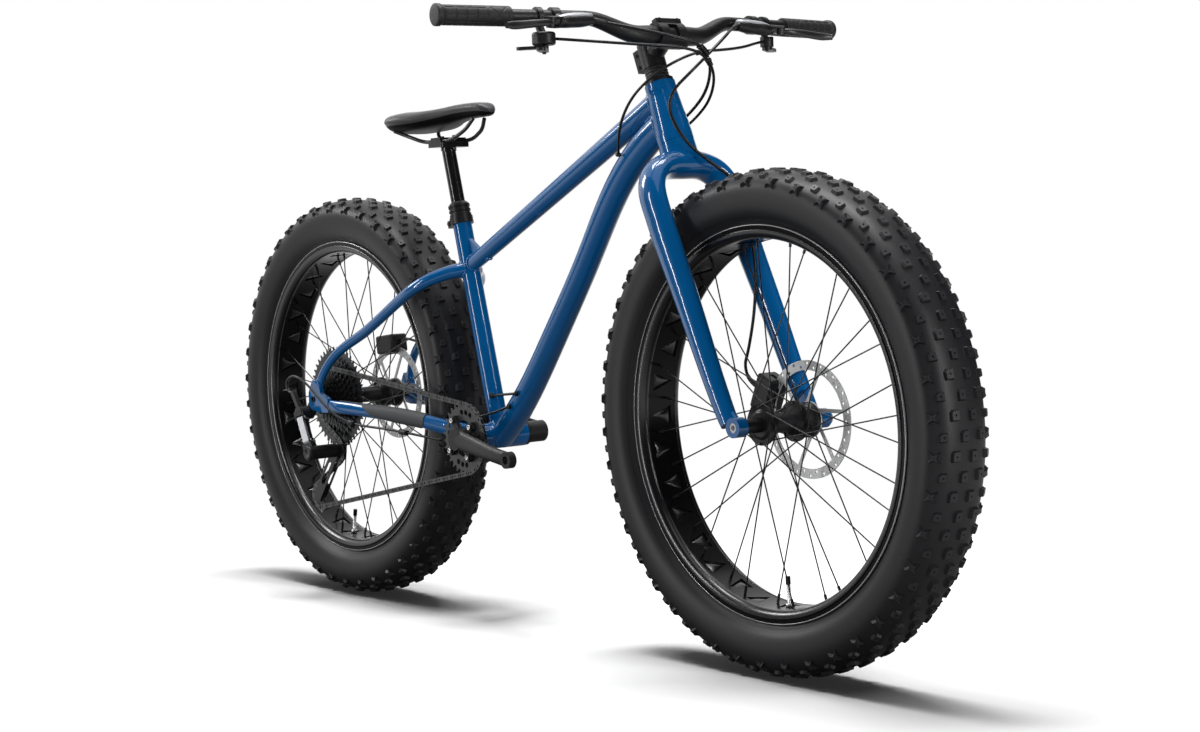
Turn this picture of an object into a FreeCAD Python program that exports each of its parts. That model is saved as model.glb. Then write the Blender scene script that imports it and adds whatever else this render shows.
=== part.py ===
"""Fat tire bike, modelled at full size in millimetres.

+X points forward, +Y to the rider's left and +Z up. The origin lies on the floor, midway between the wheels.
Pieces that turn with the bars are drawn square to the steering axis and tilted into place.
"""
import FreeCAD
import Part
import Sketcher
import math
import os
import re

V = FreeCAD.Vector
doc = FreeCAD.newDocument("fat_bike")
sheet = doc.addObject("Spreadsheet::Sheet", "Sizes")

SIZES = (
    # layout
    ("wheelbase", 1184, "between the axles"),
    ("tyre_radius", 380, "axle to tread top, so the axle height"),
    ("head_angle", 69.5, "steering axis above the floor, degrees"),
    ("fork_offset", 52, "axle ahead of the steering axis"),
    ("bracket_back", 138, "bottom bracket behind the origin"),
    ("bracket_height", 325, "bottom bracket above the floor"),
    ("slide_fit", 0.05, "radial room of a pin, shaft or axle in its bore"),
    ("gap", 0.5, "room between pieces that move past each other"),
    # wheels
    ("tyre_half", 56, "half the tyre's width"),
    ("tyre_wall", 5, "carcass thickness"),
    ("rim_radius", 296, "rim flange radius"),
    ("rim_half", 40, "half the rim's width"),
    ("rim_flange", 3.2, "flange thickness"),
    ("rim_depth", 20, "flange tip to the spoke face"),
    ("rim_skin", 3, "rim bed thickness"),
    ("rim_window", 15, "half width of a rim cut-out"),
    ("rim_window_reach", 19, "rim cut-out reach to each side"),
    ("spoke_count", 32, "spokes per wheel"),
    ("spoke_radius", 1.1, "spoke radius"),
    ("nipple_radius", 2.2, "nipple radius"),
    ("nipple_length", 13, "nipple length"),
    ("spoke_lean", 66, "hub end ahead of the rim end, degrees"),
    ("spoke_row", 9, "spoke holes off the rim's centre"),
    ("flange_radius", 31, "hub flange radius"),
    ("spoke_circle", 26.5, "spoke holes in the hub flange"),
    ("flange_wall", 3.6, "hub flange thickness"),
    ("hub_barrel", 15, "hub barrel radius"),
    ("hub_cap", 11, "hub end cap radius"),
    ("front_hub_half", 75, "half the front hub's length"),
    ("rear_hub_half", 98.5, "half the rear hub's length"),
    ("front_axle", 7.5, "front axle radius"),
    ("rear_axle", 6, "rear axle radius"),
    ("axle_bore", 4, "radius of the hole through each axle"),
    ("front_flange_right", 36, "right flange off centre"),
    ("front_flange_left", 30, "left flange off centre"),
    ("rear_flange_right", 38, "right flange off centre"),
    ("rear_flange_left", 46, "left flange off centre"),
    ("rotor_radius", 90, "disc rotor radius"),
    ("rotor_track", 15, "width of the braked ring"),
    ("rotor_thick", 1.8, "disc rotor thickness"),
    ("rotor_hub", 22, "rotor bolt circle"),
    ("front_rotor_off", 60, "front rotor to the left of centre"),
    ("rear_rotor_off", 79, "rear rotor to the left of centre"),
    # frame
    ("head_length", 100, "head tube length"),
    ("head_low", 476, "axle level to the head tube's lower end, along the steering axis"),
    ("head_top_radius", 24, "head tube radius at the top"),
    ("head_low_radius", 29, "head tube radius at the bottom"),
    ("bearing_top_radius", 21, "upper bearing radius"),
    ("bearing_low_radius", 25, "lower bearing radius"),
    ("bearing_depth", 8, "headset bearing depth"),
    ("steerer_radius", 14.3, "steerer radius"),
    ("steerer_base", 19.8, "steerer radius at the crown"),
    ("seat_radius", 17, "seat tube radius"),
    ("seat_top", 711, "seat tube top above the floor"),
    ("seat_top_back", 227, "seat tube top behind the origin"),
    ("seat_foot", 8, "seat tube axis ahead of the bottom bracket"),
    ("shell_radius", 23, "bottom bracket shell radius"),
    ("shell_half", 50, "half the shell's length"),
    ("cup_radius", 20, "bottom bracket cup radius in the shell"),
    ("cup_lip", 7, "cup outside the shell"),
    ("spindle_radius", 14.9, "crank spindle radius"),
    ("top_tube_front", 20, "top tube half depth at the head tube"),
    ("top_tube_rear", 14, "top tube half depth at the seat tube"),
    ("down_tube_front", 24, "down tube half depth at the head tube"),
    ("down_tube_mid", 21, "down tube half depth in the middle"),
    ("stay_half", 9, "half width of a stay"),
    ("seatstay_half", 9.5, "half depth of a seatstay"),
    ("chainstay_half", 13, "half depth of a chainstay"),
    ("stay_clear", 72, "stay centre off the tyre's centre plane"),
    ("dropout_wall", 9, "dropout thickness"),
    ("guard_wall", 1.6, "chainstay guard thickness"),
    ("collar_radius", 19.5, "dropper collar radius"),
    ("collar_height", 27, "dropper collar height"),
    ("post_radius", 15.4, "dropper post body radius"),
    ("post_depth", 190, "dropper post body below the seat tube top"),
    ("shaft_radius", 12.5, "dropper shaft radius"),
    ("shaft_show", 96, "dropper shaft above the collar"),
    ("shaft_hidden", 130, "dropper shaft below the collar"),
    ("seat_clamp_height", 15, "seat clamp height"),
    ("seat_clamp_wall", 4, "seat clamp thickness"),
    # fork and cockpit
    ("fork_spread", 80, "fork leg centre off the centre plane"),
    ("leg_top_half", 17, "fork leg half width at the shoulder"),
    ("leg_low_half", 13.5, "fork leg half width at the dropout"),
    ("crown_level", 440, "crown centre above the axle, along the steering axis"),
    ("spacer_stack", 28, "headset spacers"),
    ("spacer_radius", 18, "headset spacer radius"),
    ("stem_height", 42, "stem clamp height on the steerer"),
    ("stem_reach", 46, "bar centre ahead of the steering axis"),
    ("stem_rise", 13, "bar centre above the stem clamp's middle"),
    ("stem_wall", 5, "stem clamp wall"),
    ("bar_clamp_radius", 15.9, "bar radius in the stem"),
    ("bar_radius", 11.1, "bar radius at the grips"),
    ("bar_half", 400, "half the bar's length"),
    ("bar_rise", 25, "bar rise"),
    ("bar_sweep", 7, "bar backsweep, degrees"),
    ("bar_low_half", 55, "half length of the low middle of the bar"),
    ("bar_bend_end", 255, "end of the rising part, inboard of the bar's end"),
    ("grip_radius", 16, "grip radius"),
    ("grip_length", 132, "grip length"),
    ("ring_length", 9, "grip clamp ring length"),
    ("clamp_wall", 4, "control clamp thickness"),
    ("lever_at", 200, "brake clamp inboard of the bar's end"),
    ("shifter_at", 172, "shifter clamp inboard of the bar's end"),
    # drive
    ("chain_pitch", 12.7, "roller to roller"),
    ("chain_links", 126, "links in the chain"),
    ("roller_radius", 3.85, "chain roller radius"),
    ("chain_inside", 2.3, "room between the inner plates"),
    ("plate_thick", 0.8, "chain plate thickness"),
    ("plate_half", 4.2, "chain plate half height"),
    ("ring_teeth", 30, "chainring teeth"),
    ("cog_teeth", 28, "teeth of the cog in use"),
    ("pulley_teeth", 11, "derailleur pulley teeth"),
    ("sprocket_thick", 1.7, "sprocket thickness"),
    ("tooth_reach", 3.4, "tooth tip above the pitch circle"),
    ("cog_step", 4, "cog to cog"),
    ("ring_off", 73, "chainring to the right of centre"),
    ("cog_off", 66, "cog in use to the right of centre"),
    ("crank_length", 175, "spindle to pedal"),
    ("crank_angle", -8, "right crank below the horizon, degrees"),
    ("crank_thick", 14, "crank arm thickness"),
    ("crank_off", 88, "inner face of the right crank's boss off centre"),
    ("crank_boss", 19, "crank boss radius"),
    ("crank_end", 14, "crank end radius"),
    ("pedal_bore", 7.14, "pedal thread radius"),
    ("bolt_circle", 38, "chainring bolt circle radius"),
    ("guide_ahead", 14, "guide pulley ahead of the axle"),
    ("guide_below", 100, "guide pulley below the axle"),
    ("cage_reach", 120, "guide pulley to tension pulley"),
    ("cage_wall", 1.6, "cage plate thickness"),
    ("cage_gap", 9.4, "room between the cage plates"),
    ("hanger_back", 22, "hanger bolt behind the axle"),
    ("hanger_below", 27, "hanger bolt below the axle"),
    ("link_length", 46, "derailleur link, pivot to pivot"),
    ("link_apart", 13, "between the derailleur links"),
    ("link_slant", 35, "derailleur pivots turned out of the wheel plane, degrees"),
    ("pivot_pin", 2, "derailleur pivot pin radius"),
    # lines and seat
    ("hose_radius", 2.5, "brake hose radius"),
    ("housing_radius", 2.3, "cable housing radius"),
    ("rail_radius", 3.5, "saddle rail radius"),
    ("saddle_length", 272, "saddle length"),
    ("saddle_half", 71, "half the saddle's width"),
    ("saddle_top", 912, "saddle top above the floor"),
)
for row, (alias, value, note) in enumerate(SIZES, 1):
    sheet.set(f"A{row}", note)
    sheet.set(f"B{row}", str(value))
    sheet.setAlias(f"B{row}", alias)
doc.recompute()
ALIASES = {alias for alias, value, note in SIZES}


def size(alias):
    return float(sheet.get(alias))


def bound(expression):
    """Puts the sheet's name before each alias of an expression."""
    return re.sub(r"[a-z_]+", lambda m: "Sizes." + m[0] if m[0] in ALIASES else m[0], expression)


def turned(angle_degrees, radius):
    """A point in the wheel plane, turned from straight ahead towards up."""
    a = math.radians(angle_degrees)
    return V(radius * math.cos(a), 0, radius * math.sin(a))


def piece(label, shape):
    """A sub-part whose shape is worked out from the sheet."""
    feature = doc.addObject("Part::Feature", label)
    feature.Label = label
    feature.Shape = shape
    SUBPARTS.append(feature)
    return feature


def outline(body, role, points):
    """A closed sketch of straight sides. Each corner is a pair of expressions that bind it to the sheet."""
    sketch = body.newObject("Sketcher::SketchObject", body.Name + "_outline")
    sketch.AttachmentSupport = [(next(f for f in body.Origin.OriginFeatures if f.Role == role), "")]
    sketch.MapMode = "FlatFace"
    count = len(points)
    rough = [V(30 * math.cos(2 * math.pi * i / count), 30 * math.sin(2 * math.pi * i / count), 0)
             for i in range(count)]
    for i in range(count):
        sketch.addGeometry(Part.LineSegment(rough[i], rough[(i + 1) % count]), False)
    for i in range(count):
        sketch.addConstraint(Sketcher.Constraint("Coincident", i, 2, (i + 1) % count, 1))
    for i, corner in enumerate(points):
        for kind, start, expression in (("DistanceX", rough[i].x, corner[0]),
                                        ("DistanceY", rough[i].y, corner[1])):
            number = sketch.addConstraint(Sketcher.Constraint(kind, -1, 1, i, 1, start))
            sketch.setExpression(f"Constraints[{number}]", bound(expression))
    return sketch


def turned_body(label, points):
    """A body of revolution about its own Z. Corners are (radius, along) expressions."""
    body = doc.addObject("PartDesign::Body", label)
    body.Label = label
    sketch = outline(body, "XZ_Plane", points)
    revolution = body.newObject("PartDesign::Revolution", label + "_turn")
    revolution.Profile = sketch
    revolution.ReferenceAxis = (sketch, ["V_Axis"])
    revolution.Angle = 360
    doc.recompute()
    return body


def kept(feature, placement=None):
    """Marks an object as a sub-part, at its place."""
    if placement is not None:
        feature.Placement = placement
    SUBPARTS.append(feature)
    return feature


def grouped(label, members):
    """One sub-part of several separate solids."""
    compound = doc.addObject("Part::Compound", label)
    compound.Label = label
    compound.Links = members
    SUBPARTS.append(compound)
    return compound


def rod(start, end, radius):
    axis = end.sub(start)
    return Part.makeCylinder(radius, axis.Length, start, axis)


def ring(center, axis, outer, inner, length):
    """A tube along an axis, centred on a point."""
    foot = center.sub(V(axis).normalize().multiply(length / 2))
    return Part.makeCylinder(outer, length, foot, axis).cut(Part.makeCylinder(inner, length, foot, axis))


def section(center, along, flat, half_flat, half_tall):
    """An oval wire square to a direction. flat is the direction that half_flat is measured in."""
    normal = V(along).normalize()
    side = flat.sub(normal * flat.dot(normal)).normalize()
    up = normal.cross(side)
    corners = []
    for k in range(16):
        a = 2 * math.pi * k / 16
        corners.append(center + side * (half_flat * math.cos(a)) + up * (half_tall * math.sin(a)))
    curve = Part.BSplineCurve()
    curve.interpolate(Points=corners, PeriodicFlag=True)
    return Part.Wire(curve.toShape())


def directions(points):
    """The direction of a path at each of its points."""
    found = []
    for i in range(len(points)):
        before = points[max(i - 1, 0)]
        after = points[min(i + 1, len(points) - 1)]
        found.append(after.sub(before).normalize())
    return found


def oval_tube(points, halves, flat=V(0, 1, 0), stations=14):
    """A tube along a smooth line through points, with a (half width, half depth) at each."""
    line = Part.BSplineCurve()
    line.interpolate(points)
    marks = [line.parameter(p) for p in points]
    wires = []
    for p in line.discretize(Number=stations):
        at = line.parameter(p)
        i = max(k for k in range(len(marks) - 1) if marks[k] <= at or k == 0)
        share = min(max((at - marks[i]) / (marks[i + 1] - marks[i]), 0), 1)
        wide, deep = (a + (b - a) * share for a, b in zip(halves[i], halves[i + 1]))
        wires.append(section(p, line.tangent(at)[0], flat, wide, deep))
    return Part.makeLoft(wires, True, False)


def rounded_route(points):
    """Straight runs joined by tangent arcs as large as the runs allow. Returns a wire and its least radius."""
    edges = []
    last = points[0]
    least = math.inf
    for i in range(1, len(points) - 1):
        back = points[i - 1].sub(points[i])
        ahead = points[i + 1].sub(points[i])
        shorter = min(back.Length, ahead.Length)
        half_turn = (math.pi - back.getAngle(ahead)) / 2
        trim = 0.45 * shorter
        least = min(least, trim / math.tan(half_turn))
        b = V(back).normalize()
        a = V(ahead).normalize()
        start = points[i] + b * trim
        end = points[i] + a * trim
        bisector = (a + b).normalize()
        radius = trim / math.tan(half_turn)
        middle = points[i] + bisector * (radius / math.cos(half_turn) - radius)
        edges.append(Part.LineSegment(last, start).toShape())
        edges.append(Part.Arc(start, middle, end).toShape())
        last = end
    edges.append(Part.LineSegment(last, points[-1]).toShape())
    return Part.Wire(edges), least


def hose(label, points, radius):
    """A round line along a rounded route."""
    wire, least = rounded_route(points)
    first = points[1].sub(points[0])
    profile = Part.Wire(Part.makeCircle(radius, points[0], first))
    solid = wire.makePipeShell([profile], True, False)
    expected = math.pi * radius ** 2 * wire.Length
    print(f"{label}: length {wire.Length:.0f}, least radius {least:.0f}, "
          f"volume ratio {solid.Volume / expected:.4f}")
    return solid


def mirrored(shape):
    return shape.mirror(V(0, 0, 0), V(0, 1, 0))


SUBPARTS = []
GAP = size("gap")
FIT = size("slide_fit")
FRONT = V(size("wheelbase") / 2, 0, size("tyre_radius"))
REAR = V(-size("wheelbase") / 2, 0, size("tyre_radius"))
BRACKET = V(-size("bracket_back"), 0, size("bracket_height"))
TILT = math.radians(90 - size("head_angle"))
FOOT = FRONT - V(math.cos(TILT), 0, math.sin(TILT)) * size("fork_offset")
STEER = FreeCAD.Placement(FOOT, FreeCAD.Rotation(V(0, 1, 0), -math.degrees(TILT)))
ACROSS = FreeCAD.Rotation(V(1, 0, 0), 90)


def across(point):
    """Turns a body's own Z to point right, along -Y, and sets it on a wheel or crank centre."""
    return FreeCAD.Placement(point, ACROSS)


def steer(x, y, z):
    """A point given square to the steering axis, above the axle's level."""
    return STEER.multVec(V(x, y, z))


def tilted(shape):
    """A shape drawn square to the steering axis, set in the bike's frame."""
    placed = shape.copy()
    placed.Placement = STEER.multiply(placed.Placement)
    return placed


# Main frame

SEAT_FOOT = BRACKET + V(size("seat_foot"), 0, 0)
SEAT_TOP = V(-size("seat_top_back"), 0, size("seat_top"))
SEAT_UP = SEAT_TOP.sub(SEAT_FOOT).normalize()
SEAT_PLACE = FreeCAD.Placement(SEAT_TOP, FreeCAD.Rotation(V(0, 0, 1), SEAT_UP))
HEAD_LOW = size("head_low")
HEAD_TOP = HEAD_LOW + size("head_length")
TOP_JOIN = steer(0, 0, HEAD_TOP - 22)
DOWN_JOIN = steer(0, 0, HEAD_LOW + 40)
STAY_JOIN = SEAT_FOOT + SEAT_UP * (size("tyre_radius") - 77)

head_tube = turned_body("head_tube", (
    ("bearing_low_radius", "0"),
    ("head_low_radius", "0"),
    ("head_low_radius", "14"),
    ("head_top_radius + 2", "head_length - 46"),
    ("head_top_radius", "head_length - 16"),
    ("head_top_radius + 0.8", "head_length - 8"),
    ("head_top_radius + 0.8", "head_length"),
    ("bearing_top_radius", "head_length"),
    ("bearing_top_radius", "head_length - bearing_depth"),
    ("steerer_radius + 3", "head_length - bearing_depth"),
    ("steerer_radius + 3", "head_length - bearing_depth - 14"),
    ("steerer_base + 1.4", "bearing_depth + 26"),
    ("steerer_base + 1.4", "bearing_depth"),
    ("bearing_low_radius", "bearing_depth"),
))
HEAD_PLACE = STEER.multiply(FreeCAD.Placement(V(0, 0, HEAD_LOW), FreeCAD.Rotation()))
kept(head_tube, HEAD_PLACE)
head_solid = tilted(Part.makeCone(size("head_low_radius") - 0.5, size("head_top_radius") - 0.5,
                                  size("head_length"), V(0, 0, HEAD_LOW)))
head_keep_out = head_tube.Shape.fuse(head_solid)

low_bearing = turned_body("low_bearing", (
    ("steerer_base + slide_fit", "0"),
    ("bearing_low_radius", "0"),
    ("bearing_low_radius", "bearing_depth"),
    ("steerer_base + slide_fit", "bearing_depth"),
))
top_bearing = turned_body("top_bearing", (
    ("steerer_radius + slide_fit", "head_length - bearing_depth"),
    ("bearing_top_radius", "head_length - bearing_depth"),
    ("bearing_top_radius", "head_length"),
    ("steerer_radius + slide_fit", "head_length"),
))
low_bearing.Placement = HEAD_PLACE
top_bearing.Placement = HEAD_PLACE
grouped("headset_bearings", [low_bearing, top_bearing])

bracket_shell = turned_body("bottom_bracket_shell", (
    ("cup_radius", "-shell_half"),
    ("shell_radius", "-shell_half"),
    ("shell_radius", "shell_half"),
    ("cup_radius", "shell_half"),
))
kept(bracket_shell, across(BRACKET))
shell_solid = Part.makeCylinder(size("shell_radius"), 2 * size("shell_half"),
                                BRACKET - V(0, size("shell_half"), 0), V(0, 1, 0))

cups = []
for sign in (-1, 1):
    cup = turned_body("cup_right" if sign > 0 else "cup_left", (
        ("spindle_radius + slide_fit", f"{sign} * (shell_half - 14)"),
        ("cup_radius", f"{sign} * (shell_half - 14)"),
        ("cup_radius", f"{sign} * shell_half"),
        ("cup_radius + 2.5", f"{sign} * shell_half"),
        ("cup_radius + 2.5", f"{sign} * (shell_half + cup_lip)"),
        ("spindle_radius + slide_fit", f"{sign} * (shell_half + cup_lip)"),
    ))
    cup.Placement = across(BRACKET)
    cups.append(cup)
grouped("bottom_bracket_cups", cups)

seat_outer = rod(SEAT_FOOT, SEAT_TOP, size("seat_radius"))
seat_bore = rod(SEAT_FOOT - SEAT_UP * 60, SEAT_TOP, size("post_radius"))
gusset_low = SEAT_FOOT + SEAT_UP * (SEAT_TOP.sub(SEAT_FOOT).Length - 80)
gusset = Part.Face(Part.makePolygon([
    gusset_low, SEAT_TOP - SEAT_UP * 26, gusset_low + V(66, 0, 2), gusset_low])).extrude(V(0, 8, 0))
gusset.translate(V(0, -4, 0))

# The down tube leaves the head tube flat, bends down, and comes to the bracket a little flat again.
DOWN_SAG = ((0, 0), (0.137, -26), (0.252, -28), (0.401, -14), (0.542, -2), (0.677, 7), (0.81, 14), (0.9, 14),
            (1, 6))
down_run = BRACKET.sub(DOWN_JOIN)
down_side = V(-down_run.z, 0, down_run.x).normalize()
down_points = [DOWN_JOIN + down_run * t + down_side * sag for t, sag in DOWN_SAG]
front_half = size("down_tube_front")
mid_half = size("down_tube_mid")
down_halves = [(front_half - 3, front_half), (front_half - 2, front_half), (front_half - 2, front_half - 1),
               (mid_half + 1, mid_half), (mid_half + 1, mid_half), (mid_half + 2, mid_half),
               (mid_half + 3, mid_half), (mid_half + 5, mid_half), (mid_half + 6, mid_half)]
down_solid = oval_tube(down_points, down_halves)

top_points = [TOP_JOIN + (STAY_JOIN + SEAT_UP * 4 - TOP_JOIN) * t for t in (0, 0.12, 0.35, 0.6, 0.85, 1)]
half_step = (size("top_tube_front") - size("top_tube_rear")) / 5
top_halves = [(size("top_tube_front") - half_step * k - 1, size("top_tube_front") - half_step * k)
              for k in range(6)]
top_solid = oval_tube(top_points, top_halves)

seat_solid = seat_outer.fuse(gusset).cut(seat_bore).cut(shell_solid)
piece("seat_tube", seat_solid)
top_tube = top_solid.cut(seat_outer).cut(gusset).cut(head_keep_out)
piece("top_tube", max(top_tube.Solids, key=lambda s: s.Volume))
down_tube = down_solid.cut(shell_solid).cut(head_keep_out).cut(top_solid).cut(seat_outer)
piece("down_tube", max(down_tube.Solids, key=lambda s: s.Volume))

# Rear triangle, drawn for the right side and mirrored

DROP_IN = size("rear_hub_half")
DROP_MID = DROP_IN + size("dropout_wall") / 2
CLEAR = size("stay_clear")
drop_ring = ((-17, -13), (-8, -20), (18, -24), (52, -24), (52, 2), (26, 12), (20, 36), (-2, 36), (-17, 12))
drop_face = Part.Face(Part.makePolygon(
    [REAR + V(x, -DROP_IN, z) for x, z in drop_ring + drop_ring[:1]]))
dropout = drop_face.extrude(V(0, -size("dropout_wall"), 0))
dropout = dropout.makeFillet(2, [e for e in dropout.Edges if abs(e.tangentAt(e.FirstParameter).y) > 0.9])
axle_hole = Part.makeCylinder(size("rear_axle") + FIT, 300, REAR - V(0, 150, 0), V(0, 1, 0))


def stay_y(share):
    """Off centre, from the tyre's clearance to the middle of the dropout."""
    return -(CLEAR + (DROP_MID - CLEAR) * share)


SEATSTAY_LIFT = ((0, 0, -7), (0.079, 10, -0.55 * CLEAR), (0.16, 13, -0.9 * CLEAR), (0.304, 19, stay_y(0)),
                 (0.476, 23, stay_y(0.13)), (0.634, 29, stay_y(0.26)), (0.813, 35, stay_y(0.6)),
                 (0.93, 21, stay_y(0.88)), (0.985, 4, stay_y(1)))
stay_end = REAR + V(9, 0, 12)
stay_run = stay_end.sub(STAY_JOIN)
stay_lift = V(stay_run.z, 0, -stay_run.x).normalize()
stay_points = []
for t, lift, y in SEATSTAY_LIFT:
    stay_points.append(STAY_JOIN + stay_run * t + stay_lift * lift + V(0, y, 0))
s_half = size("seatstay_half")
seatstay_halves = [(13, 13), (11, 12), (10, s_half + 1.5), (size("stay_half"), s_half + 1),
                   (size("stay_half"), s_half), (size("stay_half"), s_half),
                   (size("stay_half") - 1, s_half - 1), (7, s_half - 1), (4.4, s_half)]
seatstay = oval_tube(stay_points, seatstay_halves).cut(seat_outer).cut(top_solid).cut(dropout)
seatstay = max(seatstay.Solids, key=lambda s: s.Volume)
half_space = Part.makeBox(2000, 300, 1500, V(-1000, -300, 0))
seatstay = seatstay.common(half_space)

CHAINSTAY_Y = ((0.02, 0.5, 3), (0.11, 0.68, 6), (0.19, 0.85, 8), (0.28, 1.0, 12))
chain_end = REAR + V(34, 0, -12)
chain_run = chain_end.sub(BRACKET)
chain_points = [BRACKET + chain_run * t + V(0, -CLEAR * k, lift) for t, k, lift in CHAINSTAY_Y]
for t, share, lift in ((0.45, 0.2, 12), (0.68, 0.52, 8), (0.88, 0.9, 4), (0.98, 1.0, 0)):
    chain_points.append(BRACKET + chain_run * t + V(0, stay_y(share), lift))
c_half = size("chainstay_half")
w_half = size("stay_half")
chain_halves = [(w_half + 3, c_half + 2), (w_half + 2, c_half + 2), (w_half, c_half + 1), (w_half, c_half),
                (w_half, c_half), (w_half, c_half - 1), (w_half - 3, c_half - 1), (4.4, c_half - 1)]
chain_tube = oval_tube(chain_points, chain_halves)
cup_room = Part.makeCylinder(size("cup_radius") + 2.5 + GAP, 2 * (size("shell_half") + size("cup_lip") + GAP),
                             BRACKET - V(0, size("shell_half") + size("cup_lip") + GAP, 0), V(0, 1, 0))
chainstay = chain_tube.cut(shell_solid).cut(cup_room).cut(seat_outer)
chainstay = max(chainstay.Solids, key=lambda s: s.Volume).fuse(dropout).cut(axle_hole)
seatstay = seatstay.cut(chainstay)
seatstay = max(seatstay.Solids, key=lambda s: s.Volume)
piece("chainstays", Part.makeCompound([chainstay, mirrored(chainstay)]))
piece("seatstays", Part.makeCompound([seatstay, mirrored(seatstay)]))

wall = size("guard_wall")
guard_points = chain_points[3:7]
guard_halves = [(a + wall, b + wall) for a, b in chain_halves[3:7]]
# The guard's lower edge, as (share of the stay, above its line): a strip at the back, the whole side in front
GUARD_EDGE = ((1.05, 15), (0.72, 19), (0.64, 2), (0.34, -6), (0.24, 14))
guard_edge = [BRACKET + chain_run * t + V(0, -200, lift) for t, lift in GUARD_EDGE]
under = [guard_edge[-1] - V(0, 0, 200), guard_edge[0] - V(0, 0, 200)]
below_guard = Part.Face(Part.makePolygon(guard_edge + under + guard_edge[:1])).extrude(V(0, 400, 0))
guard = oval_tube(guard_points, guard_halves).cut(chain_tube).cut(below_guard)
piece("chainstay_guard", max(guard.Solids, key=lambda s: s.Volume))

rear_axle_rod = turned_body("rear_thru_axle", (
    ("axle_bore", "-rear_hub_half - dropout_wall - 8"),
    ("rear_axle + 4", "-rear_hub_half - dropout_wall - 8"),
    ("rear_axle + 4", "-rear_hub_half - dropout_wall"),
    ("rear_axle", "-rear_hub_half - dropout_wall"),
    ("rear_axle", "rear_hub_half + dropout_wall + 2"),
    ("axle_bore", "rear_hub_half + dropout_wall + 2"),
))
kept(rear_axle_rod, across(REAR))

# Seat clamp, dropper post and saddle

clamp_mid = SEAT_TOP - SEAT_UP * (size("seat_clamp_height") / 2 - 2)
clamp_ring = ring(clamp_mid, SEAT_UP, size("seat_radius") + size("seat_clamp_wall"), size("seat_radius"),
                  size("seat_clamp_height"))
clamp_back = SEAT_UP.cross(V(0, 1, 0))
lug_at = clamp_mid + clamp_back * (size("seat_radius") + 7)
lug = Part.makeBox(16, 18, size("seat_clamp_height") - 2, V(-8, -9, -size("seat_clamp_height") / 2 + 1))
lug.Placement = FreeCAD.Placement(lug_at, FreeCAD.Rotation(V(0, 0, 1), SEAT_UP))
seat_clamp = clamp_ring.fuse(lug.cut(seat_outer))
clamp_bolt = rod(lug_at + V(-1, -13, 0), lug_at + V(-1, 13, 0), 3.2)
seat_clamp = seat_clamp.cut(clamp_bolt).cut(rod(SEAT_TOP, SEAT_TOP + SEAT_UP * 30, size("collar_radius") + 3))
piece("seat_clamp", Part.makeCompound([seat_clamp, clamp_bolt]))

post_body = turned_body("dropper_post_body", (
    ("shaft_radius + slide_fit", "-post_depth"),
    ("post_radius", "-post_depth"),
    ("post_radius", "0"),
    ("collar_radius", "0"),
    ("collar_radius", "5"),
    ("collar_radius - 1.4", "6"),
    ("collar_radius - 1.4", "9"),
    ("collar_radius", "10"),
    ("collar_radius", "13"),
    ("collar_radius - 1.4", "14"),
    ("collar_radius - 1.4", "17"),
    ("collar_radius", "18"),
    ("collar_radius", "collar_height - 5"),
    ("shaft_radius + 2.5", "collar_height"),
    ("shaft_radius + slide_fit", "collar_height"),
))
kept(post_body, SEAT_PLACE)

shaft = turned_body("shaft_rod", (
    ("0", "collar_height - shaft_hidden"),
    ("shaft_radius", "collar_height - shaft_hidden"),
    ("shaft_radius", "collar_height + shaft_show"),
    ("0", "collar_height + shaft_show"),
))
shaft.Placement = SEAT_PLACE
RAIL = size("rail_radius")
rail_level = SEAT_TOP.z + (size("collar_height") + size("shaft_show") + 12) * SEAT_UP.z + 6
head_mid = SEAT_TOP + SEAT_UP * (size("collar_height") + size("shaft_show"))
rail_y = 22.0
SADDLE_BACK = head_mid.x - 128
SADDLE_FRONT = SADDLE_BACK + size("saddle_length")
SADDLE_TOP = size("saddle_top")
# One rail from under the tail, along the clamp, and up to the nose
rail_route = [V(SADDLE_BACK + 26, -48, SADDLE_TOP - 40), V(SADDLE_BACK + 46, -34, SADDLE_TOP - 50),
              V(head_mid.x - 44, -rail_y, rail_level), V(head_mid.x + 44, -rail_y, rail_level),
              V(SADDLE_FRONT - 62, -18, SADDLE_TOP - 48), V(SADDLE_FRONT - 46, -12, SADDLE_TOP - 30)]
right_rail = hose("saddle rail", rail_route, RAIL)
piece("saddle_rails", Part.makeCompound([right_rail, mirrored(right_rail)]))

cradle_mid = V(head_mid.x, 0, rail_level)
cradle_low = Part.makeBox(44, 60, 11, cradle_mid + V(-22, -30, -11))
upright = [e for e in cradle_low.Edges if abs(e.tangentAt(e.FirstParameter).z) > 0.9]
cradle_low = cradle_low.makeFillet(3, upright)
cradle_top = Part.makeBox(30, 56, 6, cradle_mid + V(-15, -28, 0.2))
both_rails = right_rail.fuse(mirrored(right_rail))
neck = rod(head_mid - SEAT_UP * 0.01, V(head_mid.x, 0, rail_level - 9), size("shaft_radius") + 1.5)
cradle_low = cradle_low.fuse(neck).cut(both_rails).cut(shaft.Shape)
cradle_top = cradle_top.cut(both_rails).cut(cradle_low)
clamp_bolts = Part.makeCompound([rod(cradle_mid + V(x, 0, -16), cradle_mid + V(x, 0, 10), 3) for x in (-18, 18)])
cradle_low = cradle_low.cut(clamp_bolts)
cradle_top = cradle_top.cut(clamp_bolts)
cradle = doc.addObject("Part::Feature", "saddle_cradle")
cradle.Shape = Part.makeCompound(cradle_low.Solids + cradle_top.Solids + clamp_bolts.Solids)
grouped("dropper_shaft", [shaft, cradle])

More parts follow.
